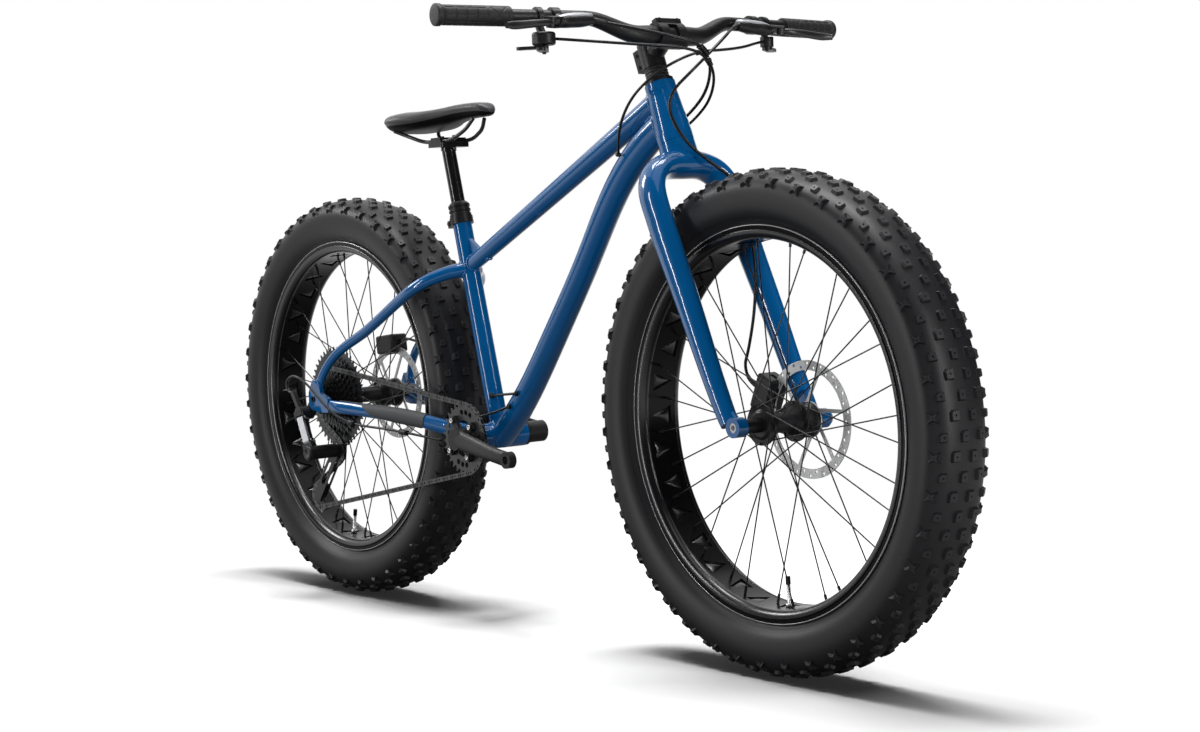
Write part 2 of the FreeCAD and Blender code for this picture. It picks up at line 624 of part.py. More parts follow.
# Saddle sections from tail to nose: (share of length, share of half width, top below the peak, side drop, depth)
SADDLE_FORM = ((0.0, 0.72, 12, 10, 20), (0.06, 0.93, 8, 14, 30), (0.2, 1.0, 6, 18, 36), (0.36, 0.86, 8, 17, 35),
               (0.52, 0.52, 6, 12, 32), (0.7, 0.34, 1, 9, 31), (0.9, 0.29, 2, 9, 27), (0.98, 0.22, 7, 8, 20))
saddle_wires = []
for share, wide, below, drop, deep in SADDLE_FORM:
    x = SADDLE_BACK + size("saddle_length") * share
    half = size("saddle_half") * wide
    top = SADDLE_TOP - below
    crown = V(x, 0, top)
    left = V(x, half, top - drop)
    right = V(x, -half, top - drop)
    low_left = V(x, half * 0.9, top - deep)
    low_right = V(x, -half * 0.9, top - deep)
    saddle_wires.append(Part.Wire([
        Part.LineSegment(low_right, right).toShape(), Part.Arc(right, crown, left).toShape(),
        Part.LineSegment(left, low_left).toShape(), Part.LineSegment(low_left, low_right).toShape()]))
saddle = Part.makeLoft(saddle_wires, True, False).cut(both_rails)
piece("saddle", max(saddle.Solids, key=lambda s: s.Volume))

# Fork and headset, drawn square to the steering axis

CROWN = size("crown_level")
SPREAD = size("fork_spread")
crown_top = HEAD_LOW - GAP
leg_points = [V(0, 0, CROWN), V(0, -0.3 * SPREAD, CROWN - 1), V(0, -0.66 * SPREAD, CROWN - 9),
              V(1, -0.9 * SPREAD, CROWN - 30), V(3, -0.985 * SPREAD, CROWN - 62), V(8, -SPREAD, 0.7 * CROWN),
              V(20, -SPREAD - 1, 0.4 * CROWN), V(33, -SPREAD - 2, 30), V(36, -SPREAD - 2, 10)]
top_half = size("leg_top_half")
low_half = size("leg_low_half")
# Half depths fore and aft stay larger than the half widths from side to side
leg_halves = [(27, 22), (27, 21), (27, 19), (26.5, top_half + 1), (26, top_half), (25, top_half),
              (21, top_half - 1),
              (17, low_half), (15, low_half)]
both_legs = [V(p.x, -p.y, p.z) for p in leg_points[:0:-1]] + leg_points
legs = oval_tube(both_legs, leg_halves[:0:-1] + leg_halves, V(1, 0, 0), stations=31)
fork_boss_end = size("front_hub_half") + 19
dropout_block = Part.makeCylinder(15, fork_boss_end - size("front_hub_half"),
                                  V(size("fork_offset"), -fork_boss_end, 0), V(0, 1, 0))
dropout_arm = oval_tube([V(34, -SPREAD - 2, 34), V(42, -SPREAD - 2, 10), V(size("fork_offset"), -SPREAD - 4, 0)],
                        [(16, 11), (15, 8), (13, 8)], V(1, 0, 0))
right_end = dropout_arm.fuse(dropout_block)
crown_race = Part.makeCone(size("head_low_radius") + 1, size("head_low_radius"), crown_top - CROWN, V(0, 0, CROWN))
steerer_low = Part.makeCylinder(size("steerer_base"), size("bearing_depth") + 20, V(0, 0, crown_top))
steerer_taper = Part.makeCone(size("steerer_base"), size("steerer_radius"),
                              size("head_length") - 2 * size("bearing_depth") - 34,
                              V(0, 0, HEAD_LOW + size("bearing_depth") + 19))
STEM_LOW = HEAD_TOP + size("spacer_stack")
STEM_TOP = STEM_LOW + size("stem_height")
steerer_top = Part.makeCylinder(size("steerer_radius"), STEM_TOP - 3 - (HEAD_LOW + 40), V(0, 0, HEAD_LOW + 40))
steerer = crown_race.fuse([steerer_low, steerer_taper, steerer_top])
fork = legs.fuse([right_end, mirrored(right_end), steerer])
fork = fork.cut(Part.makeCylinder(size("front_axle") + FIT, 400, V(size("fork_offset"), -200, 0), V(0, 1, 0)))
wheel_room = Part.makeCylinder(50, 2 * size("front_hub_half"),
                               V(size("fork_offset"), -size("front_hub_half"), 0), V(0, 1, 0))
fork = fork.cut(wheel_room)
piece("fork", tilted(max(fork.Solids, key=lambda s: s.Volume)))

front_axle_rod = turned_body("front_thru_axle", (
    ("axle_bore", "-front_hub_half - 25"),
    ("front_axle + 3.5", "-front_hub_half - 25"),
    ("front_axle + 3.5", "-front_hub_half - 19"),
    ("front_axle", "-front_hub_half - 19"),
    ("front_axle", "front_hub_half + 18"),
    ("axle_bore", "front_hub_half + 18"),
))
kept(front_axle_rod, across(FRONT))

spacers = []
spacer_edges = (GAP, 6, 16, size("spacer_stack"))
for low, high, grow in zip(spacer_edges[:-1], spacer_edges[1:], (5, 0, 0)):
    spacers.append(ring(V(0, 0, HEAD_TOP + (low + high) / 2), V(0, 0, 1), size("spacer_radius") + grow,
                        size("steerer_radius"), high - low - 0.1))
cap = Part.makeCylinder(size("spacer_radius") - 1, 5, V(0, 0, STEM_TOP + 0.1))
cap_bolt = Part.makeCylinder(4, 3, V(0, 0, STEM_TOP + 5.1))
piece("headset_spacers", tilted(Part.makeCompound(spacers + [cap, cap_bolt])))

# Stem and bar

BAR_UP = STEM_LOW + size("stem_height") / 2 + size("stem_rise")
BAR_MID = V(size("stem_reach"), 0, BAR_UP)
stem_outer = size("steerer_radius") + size("stem_wall")
face_outer = size("bar_clamp_radius") + size("stem_wall")
stem_post = Part.makeCylinder(stem_outer, size("stem_height"), V(0, 0, STEM_LOW))
neck_line = [V(0, 0, STEM_LOW + size("stem_height") / 2), V(size("stem_reach") * 0.6, 0, BAR_UP - 4), BAR_MID]
stem_neck = oval_tube(neck_line,
                      [(15, 18), (17, 15), (20, 16)])
stem_front = Part.makeCylinder(face_outer, 50, BAR_MID - V(0, 25, 0), V(0, 1, 0))
ears = Part.makeBox(14, 26, size("stem_height") - 6, V(-stem_outer - 8, -13, STEM_LOW + 3))
stem = stem_post.fuse([stem_neck, stem_front, ears])
face_side = Part.makeBox(60, 80, 80, BAR_MID + V(1.2, -40, -40))
steerer_hole = Part.makeCylinder(size("steerer_radius"), 200, V(0, 0, STEM_LOW - 50))
bar_hole = Part.makeCylinder(size("bar_clamp_radius"), 90, BAR_MID - V(0, 45, 0), V(0, 1, 0))
stem_bolts = [Part.makeCylinder(2.6, 30, V(-stem_outer - 2, -15, STEM_LOW + z), V(0, 1, 0)) for z in (11, 31)]
clamp_slit = Part.makeBox(30, 1.6, 80, V(-48, -0.8, STEM_LOW - 5))
stem_body = stem.cut(face_side).cut(steerer_hole).cut(bar_hole).cut(clamp_slit)
cap_room = Part.makeCylinder(size("spacer_radius") - 0.8, 30, V(0, 0, STEM_TOP))
stem_body = stem_body.cut(Part.makeCompound(stem_bolts)).cut(cap_room)
stem_solid = max(stem_body.Solids, key=lambda s: s.Volume)
piece("stem", tilted(Part.makeCompound([stem_solid] + stem_bolts)))

plate_ring = Part.makeCylinder(face_outer, 50, BAR_MID - V(0, 25, 0), V(0, 1, 0))
plate_tabs = Part.makeBox(11, 50, 2 * face_outer + 6, BAR_MID + V(2.4, -25, -face_outer - 3))
plate_window = Part.makeBox(40, 18, 2 * face_outer - 18, BAR_MID + V(4, -9, -face_outer + 9))
plate = plate_ring.fuse(plate_tabs).cut(Part.makeBox(60, 80, 90, BAR_MID + V(2.4 - 60, -40, -45)))
plate = plate.cut(bar_hole).cut(plate_window)
face_bolts = []
for y in (-18, 18):
    for z in (-face_outer - 0.2, face_outer + 0.2):
        face_bolts.append(Part.makeCylinder(3.6, 4, BAR_MID + V(10, y, z), V(1, 0, 0)))
plate = plate.cut(Part.makeCompound(face_bolts))
piece("stem_faceplate", tilted(Part.makeCompound(plate.Solids + face_bolts)))

BAR_AT = steer(BAR_MID.x, 0, BAR_MID.z)
SWEEP = math.tan(math.radians(size("bar_sweep")))
BEND_END = size("bar_half") - size("bar_bend_end")


def bar_point(y):
    """The bar's centre line: low in the middle, rising, then swept back to the ends."""
    off = abs(y)
    rise = min(max((off - size("bar_low_half")) / (BEND_END - size("bar_low_half")), 0), 1)
    smooth = rise * rise * (3 - 2 * rise)
    back = max(off - size("bar_low_half"), 0) * SWEEP + 8 * smooth
    return BAR_AT + V(-back, y, size("bar_rise") * smooth)


BAR_STATIONS = 18


def bar_radius_at(y):
    """Full size in the stem, then down to the grip's size by the end of the rise."""
    share = min(max((abs(y) - 32) / (BEND_END - 32), 0), 1)
    return size("bar_clamp_radius") + (size("bar_radius") - size("bar_clamp_radius")) * share


def bar_frame(y):
    """A point of the bar and its outward direction there."""
    return bar_point(y), bar_point(y + (1 if y > 0 else -1)).sub(bar_point(y)).normalize()


bar_ys = [BEND_END * (2 * k / BAR_STATIONS - 1) for k in range(BAR_STATIONS + 1)]
bar_points = [bar_point(y) for y in bar_ys]
bar_ways = directions(bar_points)
bar_ways[0] = bar_frame(-BEND_END)[1] * -1
bar_ways[-1] = bar_frame(BEND_END)[1]
bar_wires = [section(p, d, V(1, 0, 0), bar_radius_at(y) - 0.25, bar_radius_at(y) - 0.25)
             for p, d, y in zip(bar_points, bar_ways, bar_ys)]
# The bends run a hair thinner than the straight seats of the stem, the grips and the clamps
bar_seats = [rod(bar_point(sign * BEND_END) - bar_frame(sign * BEND_END)[1] * 0.6,
                 bar_point(sign * size("bar_half")), size("bar_radius") - 0.02) for sign in (-1, 1)]
bar_seats.append(rod(bar_point(-30), bar_point(30), size("bar_clamp_radius") - 0.02))
handlebar = Part.makeLoft(bar_wires, True, False).fuse(bar_seats)
piece("handlebar", max(handlebar.Solids, key=lambda s: s.Volume))

grip_solids = []
for sign in (-1, 1):
    end_y = sign * size("bar_half")
    tip, out = bar_frame(end_y - sign * 1.0)
    inner = tip - out * size("grip_length")
    bore = size("bar_radius") + 0.06
    sleeve = Part.makeCylinder(size("grip_radius") - 0.6, size("grip_length") - size("ring_length"),
                               inner + out * size("ring_length"), out)
    flange = Part.makeCylinder(size("grip_radius") + 1.4, 4, tip - out * 2, out)
    hollow = Part.makeCylinder(bore, size("grip_length") + 1.4, inner - out * 0.2, out)
    grip_solids.append(sleeve.fuse(flange).cut(hollow))
    grip_solids.append(Part.makeCylinder(size("grip_radius"), size("ring_length") - 0.2, inner, out).cut(hollow))
piece("grips", Part.makeCompound(grip_solids))

# Wheels, drawn about their own Z, which points to the right once they are in place

def tyre_at(step):
    """The radius at a step, of 84 from the rim's flange to the tread's crown."""
    return f"rim_radius + {step} / 84 * (tyre_radius - rim_radius)"


TYRE_HALF_OUTLINE = (
    ("rim_radius - 6", "rim_half - rim_flange - 0.1 - tyre_wall"),
    ("rim_radius - 6", "rim_half - rim_flange - 0.1"),
    (tyre_at(1.5), "rim_half - rim_flange - 0.1"),
    (tyre_at(8), "rim_half + 5"),
    (tyre_at(20), "tyre_half - 4"),
    (tyre_at(36), "tyre_half - 0.5"),
    (tyre_at(50), "tyre_half"),
    (tyre_at(62), "tyre_half - 1.5"),
    (tyre_at(72), "tyre_half - 7"),
    (tyre_at(79), "tyre_half - 17"),
    (tyre_at(83), "tyre_half - 32"),
    ("tyre_radius", "tyre_half - 48"),
)
TYRE_INNER_OUTLINE = (
    (tyre_at(71), "tyre_half - 48"),
    (tyre_at(67), "tyre_half - 26"),
    (tyre_at(57), "tyre_half - 9 - tyre_wall"),
    (tyre_at(36), "tyre_half - 0.5 - tyre_wall"),
    (tyre_at(16), "tyre_half - 6 - tyre_wall"),
    (tyre_at(4), "rim_half - tyre_wall - 2"),
)


def opposite(corners):
    return tuple((radius, f"-({along})") for radius, along in corners[::-1])


def pocket(body, name, corners, depth):
    """A straight cut from the axis outwards, to one side."""
    sketch = outline(body, "XZ_Plane", corners)
    cut = body.newObject("PartDesign::Pocket", name)
    cut.Profile = sketch
    cut.Type = 0
    cut.setExpression("Length", bound(depth))
    doc.recompute()
    return cut


def rim(label, wheel, valve_angle):
    body = turned_body(label + "_hoop", (
        ("rim_radius", "rim_half"),
        ("rim_radius", "rim_half - rim_flange"),
        ("rim_radius - 7", "rim_half - rim_flange"),
        ("rim_radius - rim_depth + rim_skin", "rim_half - 16"),
        ("rim_radius - rim_depth + rim_skin", "-rim_half + 16"),
        ("rim_radius - 7", "-rim_half + rim_flange"),
        ("rim_radius", "-rim_half + rim_flange"),
        ("rim_radius", "-rim_half"),
        ("rim_radius - 12", "-rim_half"),
        ("rim_radius - rim_depth", "-rim_half + 14"),
        ("rim_radius - rim_depth", "rim_half - 14"),
        ("rim_radius - 12", "rim_half"),
    ))
    whole = body.Shape.Volume
    step = "(rim_radius - rim_depth) * sin(360 / spoke_count)"
    windows = [
        pocket(body, label + "_window", (("-rim_window", "-rim_window_reach"), ("rim_window", "-rim_window_reach"),
                                         ("0", "rim_window_reach")), "rim_radius"),
        pocket(body, label + "_window_back", ((f"{step} - rim_window", "rim_window_reach"),
                                              (step, "-rim_window_reach"),
                                              (f"{step} + rim_window", "rim_window_reach")), "rim_radius"),
    ]
    pattern = body.newObject("PartDesign::PolarPattern", label + "_windows")
    pattern.Originals = windows
    pattern.Axis = (next(f for f in body.Origin.OriginFeatures if f.Role == "Z_Axis"), [""])
    pattern.Angle = 360
    pattern.setExpression("Occurrences", bound("spoke_count / 2"))
    body.Tip = pattern
    doc.recompute()
    print(f"{label}: windows take {whole - body.Shape.Volume:.0f} of {whole:.0f}")
    body.Placement = across(wheel)
    inner = size("rim_radius") - size("rim_depth")
    valve = doc.addObject("Part::Feature", label + "_valve")
    stem_rod = Part.makeCylinder(3, 34, V(inner - 34.2, 0, 0), V(1, 0, 0))
    valve_cap = Part.makeCylinder(3.8, 12, V(inner - 46, 0, 0), V(1, 0, 0))
    valve.Shape = stem_rod.fuse(valve_cap)
    valve.Placement = FreeCAD.Placement(wheel, FreeCAD.Rotation(V(0, 1, 0), -valve_angle))
    return grouped(label, [body, valve])


def spokes(label, wheel, right, left):
    """Spokes that leave the two hub flanges by turns, leaning forward and back."""
    count = int(size("spoke_count"))
    thin = size("spoke_radius")
    rim_at = size("rim_radius") - size("rim_depth") - 0.5
    solids = []
    for k in range(count):
        side = -1 if k % 2 else 1
        flange = -right if side > 0 else left
        lean = size("spoke_lean") * (1 if (k // 2) % 2 else -1)
        outward = size("flange_wall") / 2 + thin
        outward = outward + 2.4 if (k // 2) % 2 else -outward - 0.3
        angle = (k + 0.5) * 360 / count
        rim_end = wheel + turned(angle, rim_at) + V(0, -side * size("spoke_row"), 0)
        hub_y = flange - side * outward
        hub_end = wheel + turned(angle + lean, size("spoke_circle")) + V(0, hub_y, 0)
        along = rim_end.sub(hub_end).normalize()
        solids.append(rod(hub_end, rim_end - along * size("nipple_length"), thin))
        solids.append(rod(rim_end - along * size("nipple_length"), rim_end, size("nipple_radius")))
    return piece(label, Part.makeCompound(solids))


def rotor(label, wheel, off, boss_radius):
    """A disc rotor with six swept arms, vent holes and six bolts."""
    thick = size("rotor_thick")
    outer = size("rotor_radius")
    inner = outer - size("rotor_track")
    middle = V(wheel.x, off, wheel.z)
    track = ring(middle, V(0, 1, 0), outer, inner, thick)
    carrier = ring(middle, V(0, 1, 0), size("rotor_hub") + 6, boss_radius + 0.1, thick)
    arms = []
    for k in range(6):
        arm = Part.makeBox(inner - size("rotor_hub") + 6, thick, 6, V(size("rotor_hub") - 2, -thick / 2, 12))
        arm.Placement = FreeCAD.Placement(middle, FreeCAD.Rotation(V(0, 1, 0), 60 * k))
        arms.append(arm)
    disc = track.fuse([carrier] + arms)
    disc = disc.common(Part.makeCylinder(outer, thick, middle - V(0, thick / 2, 0), V(0, 1, 0)))
    vents = []
    for k in range(36):
        at = middle + turned(10 * k, outer - size("rotor_track") / 2 + (3 if k % 2 else -3))
        vents.append(Part.makeCylinder(2.4, 6, at - V(0, 3, 0), V(0, 1, 0)))
    disc = disc.cut(Part.makeCompound(vents))
    bolts = []
    for k in range(6):
        at = middle + turned(60 * k + 30, size("rotor_hub"))
        bolts.append(Part.makeCylinder(3.6, 2.4, at + V(0, thick / 2 + 0.02, 0), V(0, 1, 0)))
    return piece(label, Part.makeCompound(disc.Solids + bolts))


BOSS = 17.0
for end, wheel, valve_angle, rotor_off in (("front", FRONT, -88.275, size("front_rotor_off")),
                                           ("rear", REAR, -100.8, size("rear_rotor_off"))):
    tyre = turned_body(end + "_tyre", TYRE_HALF_OUTLINE + opposite(TYRE_HALF_OUTLINE)
                       + opposite(TYRE_INNER_OUTLINE) + TYRE_INNER_OUTLINE)
    kept(tyre, across(wheel))
    rim(end + "_rim", wheel, valve_angle)
    right = end + "_flange_right"
    left = end + "_flange_left"
    spokes(end + "_spokes", wheel, size(right), size(left))
    hub = turned_body(end + "_hub", (
        (f"{end}_axle + slide_fit", f"-{end}_hub_half + gap"),
        ("hub_cap", f"-{end}_hub_half + gap"),
        ("hub_cap", f"-{end}_rotor_off - 5"),
        (f"{BOSS}", f"-{end}_rotor_off - 5"),
        (f"{BOSS}", f"-{end}_rotor_off + rotor_thick / 2"),
        ("rotor_hub + 5", f"-{end}_rotor_off + rotor_thick / 2"),
        ("rotor_hub + 5", f"-{end}_rotor_off + rotor_thick / 2 + 6"),
        ("hub_barrel + 4", f"-{left} - flange_wall / 2 - 5"),
        ("flange_radius - 8", f"-{left} - flange_wall / 2"),
        ("flange_radius", f"-{left} - flange_wall / 2"),
        ("flange_radius", f"-{left} + flange_wall / 2"),
        ("flange_radius - 8", f"-{left} + flange_wall / 2"),
        ("hub_barrel", f"-{left} + flange_wall / 2 + 8"),
        ("hub_barrel", f"{right} - flange_wall / 2 - 8"),
        ("flange_radius - 8", f"{right} - flange_wall / 2"),
        ("flange_radius", f"{right} - flange_wall / 2"),
        ("flange_radius", f"{right} + flange_wall / 2"),
        ("flange_radius - 8", f"{right} + flange_wall / 2"),
        ("hub_barrel + 3", f"{right} + flange_wall / 2 + 3"),
        ("hub_cap", f"{right} + flange_wall / 2 + 3"),
        ("hub_cap", f"{end}_hub_half - gap"),
        (f"{end}_axle + slide_fit", f"{end}_hub_half - gap"),
    ))
    kept(hub, across(wheel))
    rotor(end + "_rotor", wheel, rotor_off, BOSS)

# Drive: the chain's loop, then the sprockets turned so that their gaps meet its rollers

PITCH = size("chain_pitch")
LINKS = int(size("chain_links"))


def pitch_radius(teeth):
    return PITCH * teeth / (2 * math.pi)


GUIDE = REAR + V(size("guide_ahead"), 0, -size("guide_below"))


def tension_at(cage_angle):
    return GUIDE + turned(cage_angle, size("cage_reach"))


def chain_loop(cage_angle):
    """Runs and arcs from the top of the chainring: cog, guide pulley, tension pulley and back.

    Each stop is (centre, radius, way round): 1 turns with the wheels, -1 against them.
    """
    pulley = pitch_radius(size("pulley_teeth"))
    stops = ((BRACKET, pitch_radius(size("ring_teeth")), 1), (REAR, pitch_radius(size("cog_teeth")), 1),
             (GUIDE, pulley, -1), (tension_at(cage_angle), pulley, 1))
    normals = []
    for i in range(4):
        here, there = stops[i], stops[(i + 1) % 4]
        apart = there[0].sub(here[0])
        lean = math.acos((here[2] * here[1] - there[2] * there[1]) / apart.Length)
        normals.append(math.atan2(apart.z, apart.x) - lean)
    parts = []
    for i in range(4):
        here, there = stops[i], stops[(i + 1) % 4]
        normal = V(math.cos(normals[i]), 0, math.sin(normals[i]))
        start = here[0] + normal * (here[1] * here[2])
        end = there[0] + normal * (there[1] * there[2])
        parts.append(("run", start, end, end.sub(start).Length, i))
        sweep = ((normals[(i + 1) % 4] - normals[i]) * there[2]) % (2 * math.pi)
        begin = normals[i] + (math.pi if there[2] < 0 else 0)
        parts.append(("arc", there, begin, sweep * there[1], (i + 1) % 4))
    return parts


def loop_length(cage_angle):
    return sum(part[3] for part in chain_loop(cage_angle))


def cage_angle_for(length):
    """The cage swings until the loop takes up the whole chain."""
    forward, back = 275.0, 185.0
    for halving in range(50):
        middle = (forward + back) / 2
        if loop_length(middle) < length:
            forward = middle
        else:
            back = middle
    return middle


CAGE_ANGLE = cage_angle_for(LINKS * PITCH)
TENSION = tension_at(CAGE_ANGLE)
LOOP = chain_loop(CAGE_ANGLE)
print(f"chain: {LINKS} links, cage at {CAGE_ANGLE:.2f}, loop {loop_length(CAGE_ANGLE) / PITCH:.4f} pitches")
RING_Y = -size("ring_off")
COG_Y = -size("cog_off")


def chain_point(along):
    """A place on the loop. The two long runs cross from the chainring's plane to the cog's."""
    for kind, first, second, length, stop in LOOP:
        if along <= length:
            break
        along -= length
    if kind == "run":
        share = along / length
        crossed = share * share * (3 - 2 * share)
        start_y = RING_Y if stop == 0 else COG_Y
        end_y = RING_Y if stop == 3 else COG_Y
        return first + (second - first) * share + V(0, start_y + (end_y - start_y) * crossed, 0)
    center, radius, way = first
    angle = second + way * along / radius
    y = RING_Y if stop == 0 else COG_Y
    return V(center.x + radius * math.cos(angle), y, center.z + radius * math.sin(angle))


ROLLERS = [chain_point(PITCH * k) for k in range(LINKS)]


def link_plate(y):
    """A chain plate from pin to pin along X, its middle at y."""
    half = size("plate_half")
    thick = size("plate_thick")
    face = Part.Face(Part.Wire([
        Part.LineSegment(V(0, 0, -half), V(PITCH, 0, -half)).toShape(),
        Part.Arc(V(PITCH, 0, -half), V(PITCH + half, 0, 0), V(PITCH, 0, half)).toShape(),
        Part.LineSegment(V(PITCH, 0, half), V(0, 0, half)).toShape(),
        Part.Arc(V(0, 0, half), V(-half, 0, 0), V(0, 0, -half)).toShape()]))
    plate_solid = face.extrude(V(0, thick, 0))
    plate_solid.translate(V(0, y - thick / 2, 0))
    return plate_solid


inner_y = size("chain_inside") / 2 + size("plate_thick") / 2
outer_y = inner_y + size("plate_thick")
pin_half = outer_y + size("plate_thick") / 2
roller_half = size("chain_inside") / 2 - 0.05
inner_link = Part.makeCompound([link_plate(-inner_y), link_plate(inner_y)] + [
    ring(V(x, 0, 0), V(0, 1, 0), size("roller_radius"), 1.85, 2 * roller_half) for x in (0, PITCH)])
outer_link = Part.makeCompound([link_plate(-outer_y), link_plate(outer_y)] + [
    Part.makeCylinder(1.8, 2 * pin_half, V(x, -pin_half, 0), V(0, 1, 0)) for x in (0, PITCH)])
links = []
for k in range(LINKS):
    here = ROLLERS[k]
    there = ROLLERS[(k + 1) % LINKS]
    angle = math.degrees(math.atan2(there.z - here.z, there.x - here.x))
    link = (outer_link if k % 2 else inner_link).copy()
    link.Placement = FreeCAD.Placement(V(here.x, (here.y + there.y) / 2, here.z),
                                       FreeCAD.Rotation(V(0, 1, 0), -angle))
    links.extend(link.Solids)
piece("chain", Part.makeCompound(links))


def roller_angle(center):
    """The direction, in degrees, of the chain roller that sits deepest on a sprocket."""
    nearest = min(ROLLERS, key=lambda p: (V(p.x, 0, p.z) - V(center.x, 0, center.z)).Length)
    candidates = [p for p in ROLLERS if abs((V(p.x, 0, p.z) - V(center.x, 0, center.z)).Length
                                            - (V(nearest.x, 0, nearest.z) - V(center.x, 0, center.z)).Length) < 0.02]
    p = candidates[len(candidates) // 2]
    return math.degrees(math.atan2(p.z - center.z, p.x - center.x))


# Tooth outline about a roller gap: (sideways, above the pitch circle)
def tooth_gap():
    seat = size("roller_radius") + 0.25
    return ((1.4, -seat), (seat * 0.88, -seat * 0.67), (seat + 0.2, 0.2), (PITCH / 2 - 0.85, size("tooth_reach")))


def sprocket(center, y, teeth, bore, gap_angle, thick):
    """A toothed disc across the wheel plane, with a round bore."""
    teeth = int(teeth)
    radius = pitch_radius(teeth)
    corners = []
    for k in range(teeth):
        middle = math.radians(gap_angle) + 2 * math.pi * k / teeth
        for side, out in [(-a, b) for a, b in tooth_gap()[::-1]] + list(tooth_gap()):
            angle = middle + side / radius
            corners.append(V(center.x + (radius + out) * math.cos(angle), y - thick / 2,
                             center.z + (radius + out) * math.sin(angle)))
    disc = Part.Face(Part.makePolygon(corners + corners[:1])).extrude(V(0, thick, 0))
    return disc.cut(Part.makeCylinder(bore, thick + 2, V(center.x, y - thick / 2 - 1, center.z), V(0, 1, 0)))


THICK = size("sprocket_thick")
COGS = (11, 13, 15, 17, 19, 21, 24, 28, 32, 37, 46)
in_use = min(range(len(COGS)), key=lambda i: abs(COGS[i] - size("cog_teeth")))
carrier_radius = 17.0
cassette = []
for i, teeth in enumerate(COGS):
    count = size("cog_teeth") if i == in_use else teeth
    y = COG_Y + size("cog_step") * (i - in_use)
    cassette.append(sprocket(REAR, y, count, carrier_radius, roller_angle(REAR), THICK))
first_y = COG_Y - size("cog_step") * in_use
last_y = -size("rear_flange_right") - size("flange_wall") / 2 - 3 - GAP
carrier = ring(V(REAR.x, (first_y - 1 + last_y) / 2, REAR.z), V(0, 1, 0), carrier_radius, size("hub_cap") + FIT,
               last_y - first_y + 1)
windowed = []
for cog in cassette:
    lightened = cog
    reach = max(v.Point.sub(V(REAR.x, v.Point.y, REAR.z)).Length for v in cog.Vertexes)
    if reach > 55:
        holes = [Part.makeCylinder((reach - 30) * 0.24, 8, V(REAR.x, cog.BoundBox.YMin - 2, REAR.z)
                                   + turned(60 * k + 20, (reach + 8) / 2), V(0, 1, 0)) for k in range(6)]
        lightened = cog.cut(Part.makeCompound(holes))
    windowed.append(lightened)
lock_ring = ring(V(REAR.x, first_y - THICK / 2 - 0.9, REAR.z), V(0, 1, 0), carrier_radius + 2,
                 size("hub_cap") + 1.2, 1.4)
lock_ring = lock_ring.cut(carrier)
piece("cassette", Part.makeCompound([s for c in windowed for s in c.Solids] + [carrier] + lock_ring.Solids))

# Crankset

CRANK_ANGLE = size("crank_angle")
bolt_angles = [35 + 90 * k for k in range(4)]
chainring = sprocket(BRACKET, RING_Y, size("ring_teeth"), size("bolt_circle") - 6, roller_angle(BRACKET), THICK)
ring_bolts = []
for a in bolt_angles:
    at = BRACKET + turned(a, size("bolt_circle"))
    shank = Part.makeCylinder(4, 12, V(at.x, RING_Y - 9.6, at.z), V(0, 1, 0))
    cap_head = Part.makeCylinder(5.6, 2.2, V(at.x, RING_Y - 11.8, at.z), V(0, 1, 0))
    nut_head = Part.makeCylinder(5.6, 1.4, V(at.x, RING_Y + 2.4, at.z), V(0, 1, 0))
    ring_bolts.append(shank.fuse([cap_head, nut_head]))
ring_windows = [Part.makeCylinder(5, 8, BRACKET + turned(a + 45 + d, size("bolt_circle") + 8) + V(0, RING_Y - 4, 0),
                                  V(0, 1, 0)) for a in bolt_angles for d in (-16, 0, 16)]
chainring = chainring.cut(Part.makeCompound(ring_bolts + ring_windows))
piece("chainring", Part.makeCompound(chainring.Solids + ring_bolts))

boss_in = size("shell_half") + size("cup_lip") + GAP
boss_out = size("crank_off") + size("crank_thick") / 2
spindle_end = boss_out - 3
arm_half = size("crank_thick") / 2
flare = 16.0


def crank_arm(sign, angle):
    """An arm with its boss and pedal eye. sign is the side: -1 right, 1 left."""
    out = V(0, sign, 0)
    tip = BRACKET + turned(angle, size("crank_length")) + out * (size("crank_off") + flare)
    hub_mid = BRACKET + out * size("crank_off")
    boss = Part.makeCylinder(size("crank_boss"), boss_out - boss_in, BRACKET + out * boss_in, out)
    eye = Part.makeCylinder(size("crank_end"), size("crank_thick"), tip - out * arm_half, out)
    steps = [hub_mid, hub_mid + turned(angle, 0.3 * size("crank_length")) + out * flare * 0.35,
             hub_mid + turned(angle, 0.7 * size("crank_length")) + out * flare * 0.85, tip]
    wide = turned(angle + 90, 1)
    beam = oval_tube(steps, [(size("crank_boss") - 1, arm_half), (16, arm_half), (13.5, arm_half),
                             (size("crank_end") - 1, arm_half)], wide, stations=8)
    arm = beam.fuse([boss, eye])
    return arm.cut(Part.makeCylinder(size("pedal_bore"), 60, tip - out * 30, out)), tip


right_arm, RIGHT_PEDAL = crank_arm(-1, CRANK_ANGLE)
left_arm, LEFT_PEDAL = crank_arm(1, CRANK_ANGLE + 180)
spindle = Part.makeCylinder(size("spindle_radius"), 2 * spindle_end, BRACKET - V(0, spindle_end, 0), V(0, 1, 0))
spider = []
for a in bolt_angles:
    arm = Part.makeBox(size("bolt_circle") + 6, 7.4, 13, V(0, RING_Y - THICK / 2 - 7.5, -6.5))
    arm.Placement = FreeCAD.Placement(V(BRACKET.x, 0, BRACKET.z), FreeCAD.Rotation(V(0, 1, 0), -a))
    spider.append(arm)
right_arm = right_arm.fuse(spider).cut(Part.makeCompound(ring_bolts)).cut(spindle)
left_arm = left_arm.cut(spindle)
piece("crank_arm_right", Part.makeCompound(right_arm.Solids + [spindle]))
piece("crank_arm_left", left_arm)
print("pedal eyes", RIGHT_PEDAL, LEFT_PEDAL)

# Rear derailleur: hanger, two knuckles joined by two links, and the cage with its pulleys

